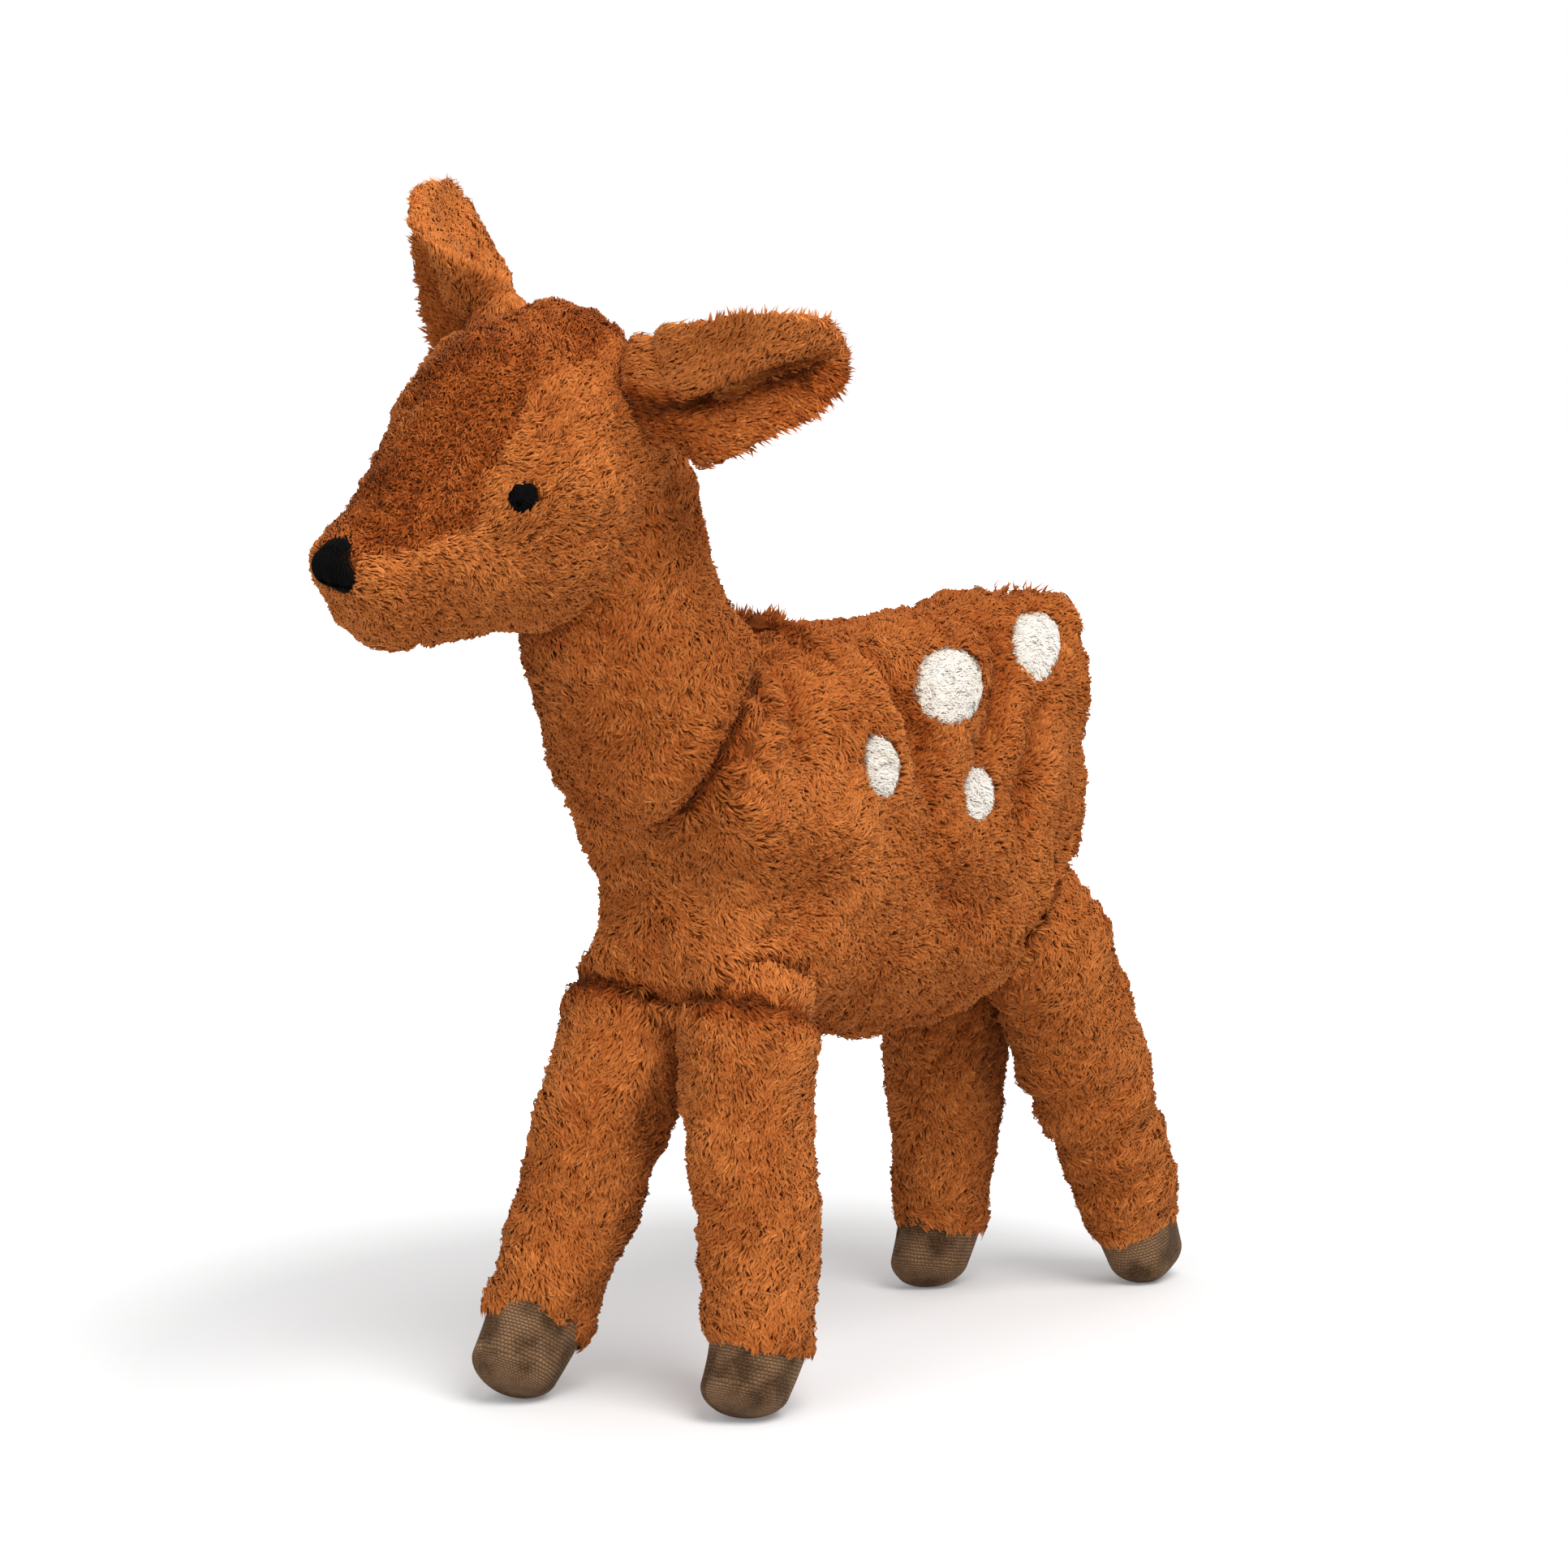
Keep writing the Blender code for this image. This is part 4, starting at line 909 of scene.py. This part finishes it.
legPile, hoofs = {}, {}
for number, (name, skin) in enumerate(legSkins.items()):
    form = legShapes[name]
    heading = np.array(form.heading(1))
    sole = np.array(form.centre(1)) + heading * form.caps[1]
    seam = sole - heading * (legs["hoofHeight"] - 0.002)
    # the leg pile is painted darker just under the torso's hem: painted shade under the overhang
    legPile[name] = growPile(
        name + "LegPile", legSurfaces[name], pile, steady(0, 0, -1), 400 + number,
        keep=lambda points: ((points - seam) @ heading < 0) & (overLeg(points, name) < 0.012),
        tone=lambda roots: 0.1 - 0.95 * swell(overLeg(roots, name) + 0.002, 0.0046),
        size=lambda roots: np.clip(0.45 - (roots - seam) @ heading / 0.008, 0.45, 1))
    hoof = makeSkin(name + "Hoof", form, 14, 96, 14, legs["hoofStep"])
    left, back, toeLeft, toeBack = legs["feet"][name]
    flat = pointsOf(hoof) + np.array([left, back, 0])
    toe = share((legs["hoofHeight"] - flat[:, 2]) / legs["hoofHeight"]) ** 1.3
    reach = np.array([toeLeft, toeBack, 0])
    ahead = unit(reach)
    off = (flat - sole) * [1, 1, 0]
    off -= ahead * (off @ ahead)[:, None]
    flat -= off * (legs["toePinch"] * toe * share((flat - sole) @ ahead / 0.012 + 0.5))[:, None]
    fore = share((flat - sole) @ ahead / 0.006) * (flat[:, 2] > 0.003)
    flat -= ahead * (0.0014 * fore * swell((flat - sole) @ np.cross(ahead, [0, 0, 1]), 0.0013))[:, None]
    flat += reach * toe[:, None]
    flat[:, 2] = np.maximum(flat[:, 2], 0)
    setPoints(hoof, flat)
    cutBelow(hoof, Vector(seam - heading * 0.004), Vector(heading), True)
    cutBelow(skin, Vector(seam + heading * 0.001), Vector(heading), False)
    hoofs[name] = hoof

ears = {
    "length": 0.06, "width": 0.052, "root": 0.015, "thickness": 0.008, "inset": 0.0017, "fill": 0.3,
    "way": {"Left": (0.8, 0.56, 0.17), "Right": (0.76, 0.46, 0.34)},
    "hollow": {"Left": (0.54, -0.82, 0.17), "Right": (0.36, -0.9, 0.12)},
    "at": (0.455, 0.2, 0.225), "roll": 0.0075, "crease": 0.0005, "creaseWidth": 0.0045,
    "sections": [  # place along, half width, half thickness and curl
        (0.0, 0.66, 2.9, 0.3), (0.16, 1.0, 2.0, 0.95), (0.36, 1.08, 1.3, 1.25),
        (0.6, 0.96, 1.1, 1.25), (0.82, 0.77, 1.05, 1.15), (0.95, 0.48, 0.9, 0.8),
    ],
    "trim": [  # the right ear as the photo sees it: height, left and right edge, how far each moves
        (0.1372, -0.1152, -0.08, 0, 0), (0.1411, -0.1147, -0.08, 0.0012, 0),
        (0.149, -0.1166, -0.08, 0.0015, 0),
        (0.1529, -0.1166, -0.085, 0, 0), (0.1607, -0.1176, -0.088, 0, 0.0018),
        (0.1646, -0.1171, -0.0897, -0.0008, 0.0014),
        (0.1686, -0.1186, -0.0902, 0, 0), (0.1725, -0.1171, -0.0926, -0.002, -0.0004),
        (0.1764, -0.1161, -0.0941, -0.004, -0.0008), (0.1803, -0.1166, -0.098, -0.0035, 0.0005),
        (0.1842, -0.1191, -0.1009, -0.0014, 0.002), (0.1882, -0.1205, -0.1044, 0.0006, 0.0026),
        (0.1921, -0.1191, -0.1073, 0.0038, 0.0038), (0.196, -0.116, -0.111, 0.0038, 0.0038),
    ],
    "rootTop": [  # across the photo, and how far the left ear's root rises
        (-0.06, 0), (-0.053, 0.0028), (-0.049, 0.0036), (-0.045, 0.002), (-0.041, 0.001), (-0.037, 0)],
}


def earPlace(hand, side):
    mirror = Vector((side, 1, 1))
    along = (mirror * Vector(ears["way"][hand])).normalized()
    hollow = mirror * Vector(ears["hollow"][hand])
    hollow = (hollow - along * hollow.dot(along)).normalized()
    turn = Matrix((along.cross(hollow), along, hollow)).transposed().to_4x4()
    size = Vector((head["width"], head["length"], head["height"]))
    return headPlace @ Matrix.Translation(mirror * size * Vector(ears["at"])) @ turn


def rollEar(points, place, side):
    # the upper half folds over the hollow and leaves a deep crease under it
    local = into(place, points)
    up = -local[:, 0] * side
    along = share(local[:, 1] / ears["length"])
    body = share((along - 0.05) / 0.2) * share((1.06 - along) / 0.28)
    fold = share((up - ears["crease"]) / ears["creaseWidth"] + 0.5)
    fold = fold * fold * (3 - 2 * fold)
    local[:, 2] += body * ears["roll"] * fold * np.cos(share((up - 0.004) / 0.024) * 1.3)
    bow = 0.003 * np.sin(along * 5)
    local[:, 2] -= body * 0.006 * swell(up - ears["crease"] + 0.003 + bow, 0.0042)
    outer = share(along / 0.5)
    local[:, 0] -= side * 0.002 * outer
    local[:, 1] -= 0.0012 * outer
    root = np.clip(1 - local[:, 1] / (0.55 * ears["length"]), 0, 1.3)
    local[:, 0] += side * np.where(up > 0, 0.0036, 0.0026) * root * (1.6 - 0.6 * root)
    local[:, 0] -= side * 0.0034 * swell(local[:, 1] + 0.008, 0.008) * (up > 0)
    local[:, 2] -= 0.0022 * share(root - 0.75) / 0.25
    if side < 0:
        local[:, 2] -= 0.0024 * body * share((0.85 - along) / 0.35) * (local[:, 2] < 0.004)
        local[:, 2] += 0.0024 * swell(along - 0.9, 0.18) * share(-up / 0.01)
        local[:, 2] += 0.0022 * swell(along - 0.86, 0.22) * share(up / 0.01)
    return outOf(place, local) + np.array(place.translation)


def trimEar(points, side):
    # last moves in the plane of the photo: across it for the right ear, up it at the left ear's root
    seen = points - np.array(photoCentre)
    u, v = seen @ photoRight, seen @ photoUp
    if side < 0:
        left, right, moveLeft, moveRight = (readRows(ears["trim"], v, k) for k in (1, 2, 3, 4))
        part = share((u - left) / (right - left))
        return points + np.outer(moveLeft * (1 - part) + moveRight * part, photoRight)
    return points + np.outer(readRows(ears["rootTop"], u) * share((v - 0.128) / 0.01), photoUp)


def earForm():
    spine, sections = [], []
    for along, width, thick, curl in ears["sections"]:
        spine.append((0, ears["length"] * along, 0))
        half = ears["thickness"] / 2 * thick
        sections.append((ears["width"] / 2 * width, half, half, curl, 0, 1))
    return SoftForm(spine, sections, (ears["root"], ears["length"] * (1 - ears["sections"][-1][0])))


earSkins, earPiles = {}, {}
for number, (hand, side) in enumerate(hands):
    place = earPlace(hand, side)

    def leanEar(roots):
        x = into(place, roots)[:, 0]
        return outOf(place, np.stack([x / 0.05, 0 * x + 0.8, 0 * x], 1))

    # painted shade: darker on the lower half of the hollow, darkest in the crease under the fold, and darker
    # at the root
    def paintedShadeEar(roots):
        x, y, z = into(place, roots).T
        up = -x * side
        inside = z > 0.4 * (x ** 2) / 0.026
        lower = share((ears["crease"] - up) / 0.004) * inside
        crease = swell(up - ears["crease"] + 0.003 + 0.003 * np.sin(y / ears["length"] * 5), 0.0036)
        return 0.24 - 0.44 * lower - 0.85 * crease * inside * (y < 0.052) - 0.15 * swell(y, 0.007)

    skin = makeSkin("ear" + hand + "Skin", earForm(), 10, 96, 12, ears["inset"], place)
    sculpt(skin, lambda points, normals: trimEar(rollEar(points, place, side), side))
    earSkins[hand] = skin
    earPiles[hand] = growPile("ear" + hand + "Pile", Surface(skin), earPile, leanEar, 500 + number,
                              tone=paintedShadeEar, hidden=[(headSurface, 0.004)])

tail = {
    "length": 0.036, "width": 0.022, "thickness": 0.01, "root": 0.0055, "height": 0.234,
    "inset": 0.0018, "fill": 0.4,
    "sections": [  # way down, way back, half width and half thickness
        (0.0, 0.0, 0.5, 1.1), (0.22, 0.42, 0.72, 0.85), (0.52, 0.52, 1.0, 0.8), (0.84, 0.44, 0.7, 0.66)],
}
rump = torsoSurface.frameOn((0, torso["length"], tail["height"]), (0, -1, 0), (0, 0, 1))
tailRoot = rump @ Vector((0, 0, tail["root"] + torso["inset"]))
tailRoot.x = 0
spine, sections = [], []
for down, back, width, thick in tail["sections"]:
    spine.append(tailRoot + Vector((0, tail["thickness"] * back, -tail["length"] * down)))
    half = tail["thickness"] / 2 * thick
    sections.append((tail["width"] / 2 * width, half, half, 0, 0, 1))
tailShape = SoftForm(spine, sections, (tail["root"], tail["length"] * (1 - tail["sections"][-1][0])))
tailSkin = makeSkin("tailSkin", tailShape, 8, 40, 8, tail["inset"])
tailPile = growPile("tailPile", Surface(tailSkin), pile, steady(0, 0, -1), 600)

spotPiles = {}
for number, (name, spot) in enumerate(spotPlaces.items()):
    spotPiles[name] = growPile(
        name + "Pile", torsoSurface, spotPile, steady(0, 1, -0.7), 700 + number,
        keep=lambda points: outOfSpot(points, spot) + 0.035 * ripples(points, 0.003, 60) < 1.03,
        tone=lambda roots: 0.25 - 0.9 * share((outOfSpot(roots, spot) - 0.86) / 0.12),
        size=lambda roots: np.clip(1.35 - outOfSpot(roots, spot), 0.35, 1))


def tube(path, radius, sides=5):
    points, faces = [], []
    last = len(path) - 1
    for k, place in enumerate(path):
        way = (path[min(k + 1, last)] - path[max(k - 1, 0)]).normalized()
        beside = way.orthogonal().normalized()
        above = way.cross(beside)
        slim = radius * (0.35 if k in (0, last) else 1)
        for turn in (math.tau * s / sides for s in range(sides)):
            points.append(place + beside * slim * math.cos(turn) + above * slim * math.sin(turn))
    for a in range(0, last * sides, sides):
        for s in range(sides):
            n = (s + 1) % sides
            faces.append((a + s, a + n, a + sides + n, a + sides + s))
    faces += [tuple(range(sides))[::-1], tuple(range(last * sides, last * sides + sides))]
    return points, faces


features = {"eye": 0.0094, "noseWidth": 0.0175, "noseHeight": 0.015, "corner": 0.19,
            "thread": 0.00021, "pitch": 0.00036}


def embroider(name, placed, outline, slant, height, seed):
    # satin stitches laid side by side over a padded patch, two layers, the upper one slanted
    rng = np.random.default_rng(seed)
    pitch, radius = features["pitch"], features["thread"]
    points, faces = [], []
    for layer, turn in ((0, slant + 0.5), (1, slant)):
        c, s = math.cos(turn), math.sin(turn)
        turned = [(x * c + y * s, -x * s + y * c) for x, y in outline]
        reach = max(abs(value) for place in turned for value in place)
        low, high = min(x for x, _ in turned), max(x for x, _ in turned)
        count = int((high - low) / pitch)
        for k in range(count):
            x = low + (high - low) * (k + 0.5) / count
            crossed = [y1 + (y2 - y1) * (x - x1) / (x2 - x1)
                       for (x1, y1), (x2, y2) in zip(turned, turned[1:] + turned[:1])
                       if (x1 - x) * (x2 - x) < 0]
            if len(crossed) < 2:
                continue
            bottom, top = min(crossed) + rng.normal(0, pitch * 0.5), max(crossed) + rng.normal(0, pitch * 0.5)
            skew, path = rng.normal(0, pitch * 0.5), []
            for t in (j / 8 for j in range(9)):
                a, b = x + skew * (2 * t - 1), bottom + (top - bottom) * t
                place, normal = headSurface.lay(placed, a * c - b * s, a * s + b * c)
                far = min(math.hypot(a, b) / reach, 1)
                dome = height * (1 - far * far * 0.75) * math.sin(math.pi * min(max(t, 0.03), 0.97)) ** 0.35
                path.append(place + normal * (dome * (0.8 + 0.2 * layer) + radius * 2 * (layer - 0.4)))
            more, sheets = tube(path, radius * rng.uniform(0.85, 1.15))
            faces += [tuple(v + len(points) for v in face) for face in sheets]
            points += more
    return addMesh(name, points, faces)


def roundOutline(width, height, corner=0, count=40):
    outline = []
    for turn in (math.tau * k / count for k in range(count)):
        x, y = width / 2 * math.cos(turn), height / 2 * math.sin(turn)
        reach = 1 - corner * math.sin(3 * math.atan2(y, x))
        outline.append((x * reach, y * reach))
    return outline


noseOutline = roundOutline(features["noseWidth"], features["noseHeight"], features["corner"])
nose = embroider("noseThread", nosePlace, noseOutline, 0.25, 0.0034, 51)
eyeOutline = roundOutline(features["eye"], features["eye"])
eyes = {hand: embroider("eye" + hand + "Thread", place, eyeOutline, 0.9, 0.0023, 52)
        for hand, place in eyePlaces.items()}


def wear(piece, material):
    piece.data.materials.append(finish[material])
    piece.data.transform(Matrix.Translation(stand))
    return piece


def dress(skin, piles, body, fill, *nodes):
    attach(wear(skin, "backing"), body)
    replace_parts(skin, *nodes)
    for piece in piles:
        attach(wear(piece, "pile"), body)


dress(torsoSkin, torsoPile, "torso", torso["fill"], "torso_left_panel", "torso_right_panel", "torso_stuffing")
for name, piece in spotPiles.items():
    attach(wear(piece, "whitePile"), "torso")
    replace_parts(piece, nodeName(name))
dress(neckSkin, [neckPile], "neck", neck["fill"], "neck_cover", "neck_stuffing")
dress(headSkin, headPile, "head", head["fill"], "head_left_panel", "head_right_panel", "forehead_gusset",
      "head_stuffing")
for piece, node in ((nose, "nose"), (eyes["Left"], "eye_left"), (eyes["Right"], "eye_right")):
    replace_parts(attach(wear(piece, "thread"), "head"), node)
for name, skin in legSkins.items():
    limb = nodeName(name)
    body = limb + "_leg"
    hip = legShapes[name].centre(0) + stand
    start, end = hip + Vector((0, 0, 0.012)), hip + Vector((0, 0, -0.03))
    for piece, material in ((skin, "backing"), (legPile[name], "pile")):
        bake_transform(wear(piece, material))
    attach(wear(hoofs[name], "hoof"), body)
    for piece, nodes in ((skin, (body + "_cover", body + "_stuffing")), (hoofs[name], (limb + "_hoof",))):
        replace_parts(piece, *nodes)
for hand, skin in earSkins.items():
    body = "ear_" + hand.lower()
    dress(skin, [earPiles[hand]], body, ears["fill"], body + "_back", body + "_lining")
dress(tailSkin, [tailPile], "tail", tail["fill"], "tail")
print("pieces dressed")

studio = {
    "azimuth": 38, "elevation": 7, "distance": 1.5, "lens": 107.1,
    "lamps": [  # name, azimuth from the fawn's front, elevation, distance, size, power
        ("keyLamp", 72, 52, 1.6, 1.2, 26.5),
        ("fillLamp", 5, 26, 1.8, 1.5, 9.5), ("topLamp", 200, 75, 1.6, 1.2, 5),
    ],
    "ambient": 0.39, "floor": 0.76, "floorGlow": 0.17,
}
target = Vector(photoCentre) + Vector((stand.x, stand.y, 0))


def aim(item, azimuth, elevation, distance):
    a, e = math.radians(azimuth), math.radians(elevation)
    away = Vector((math.sin(a) * math.cos(e), -math.cos(a) * math.cos(e), math.sin(e))) * distance
    item.location = target + away
    item.rotation_euler = (target - item.location).to_track_quat("-Z", "Y").to_euler()
    bpy.context.scene.collection.objects.link(item)


camera = bpy.data.objects.new("camera", bpy.data.cameras.new("camera"))
camera.data.lens = studio["lens"]
camera.data.sensor_width = 36
camera.data.clip_end = 50
aim(camera, studio["azimuth"], studio["elevation"], studio["distance"])
bpy.context.scene.camera = camera
for name, azimuth, elevation, distance, size, power in studio["lamps"]:
    light = bpy.data.lights.new(name, "AREA")
    light.shape = "DISK"
    light.size = size
    light.energy = power
    aim(bpy.data.objects.new(name, light), azimuth, elevation, distance)


def seenDirectly(start):
    rays = ("Is Camera Ray", "Is Glossy Ray", "Is Transmission Ray")
    camera, glossy, through = (start.node("ShaderNodeLightPath", None, None, ray) for ray in rays)
    return (camera + glossy + through).clamped()


world = bpy.data.worlds.new("studio")
world.use_nodes = True
sky = world.node_tree.nodes["Background"]
sky.inputs["Color"].default_value = (1, 1, 1, 1)
seen = seenDirectly(Wire(world.node_tree))
feed(studio["ambient"] + seen * (1 - studio["ambient"]), sky, "Strength")
bpy.context.scene.world = world

floor = addMesh("floor", [(-6, -6, 0), (6, -6, 0), (6, 6, 0), (-6, 6, 0)], [(0, 1, 2, 3)])
paper, start, shader = startFinish("paper", 0.9, 0.1)
shader.inputs["Base Color"].default_value = (studio["floor"],) * 3 + (1,)
shader.inputs["Emission Strength"].default_value = 1
away = start.node("ShaderNodeVectorMath", {"operation": "LENGTH"}, {0: solidPlace(start)}, 1)
# the floor glows only for camera, glossy and transmission rays: faintly within 0.22 m of its centre, rising
# to full white at 0.56 m, so it is left greyer round the plush, a painted shadow pool besides the lamps' real
# shadows
glow = studio["floorGlow"] + ((away - 0.22) / 0.34).clamped() * (1 - studio["floorGlow"])
feed((glow * seenDirectly(start)).scaled((1, 1, 1)), shader, "Emission Color")
floor.data.materials.append(paper)
floor.location.z = -0.0002
bpy.context.scene.view_settings.view_transform = "Standard"
print("studio set")
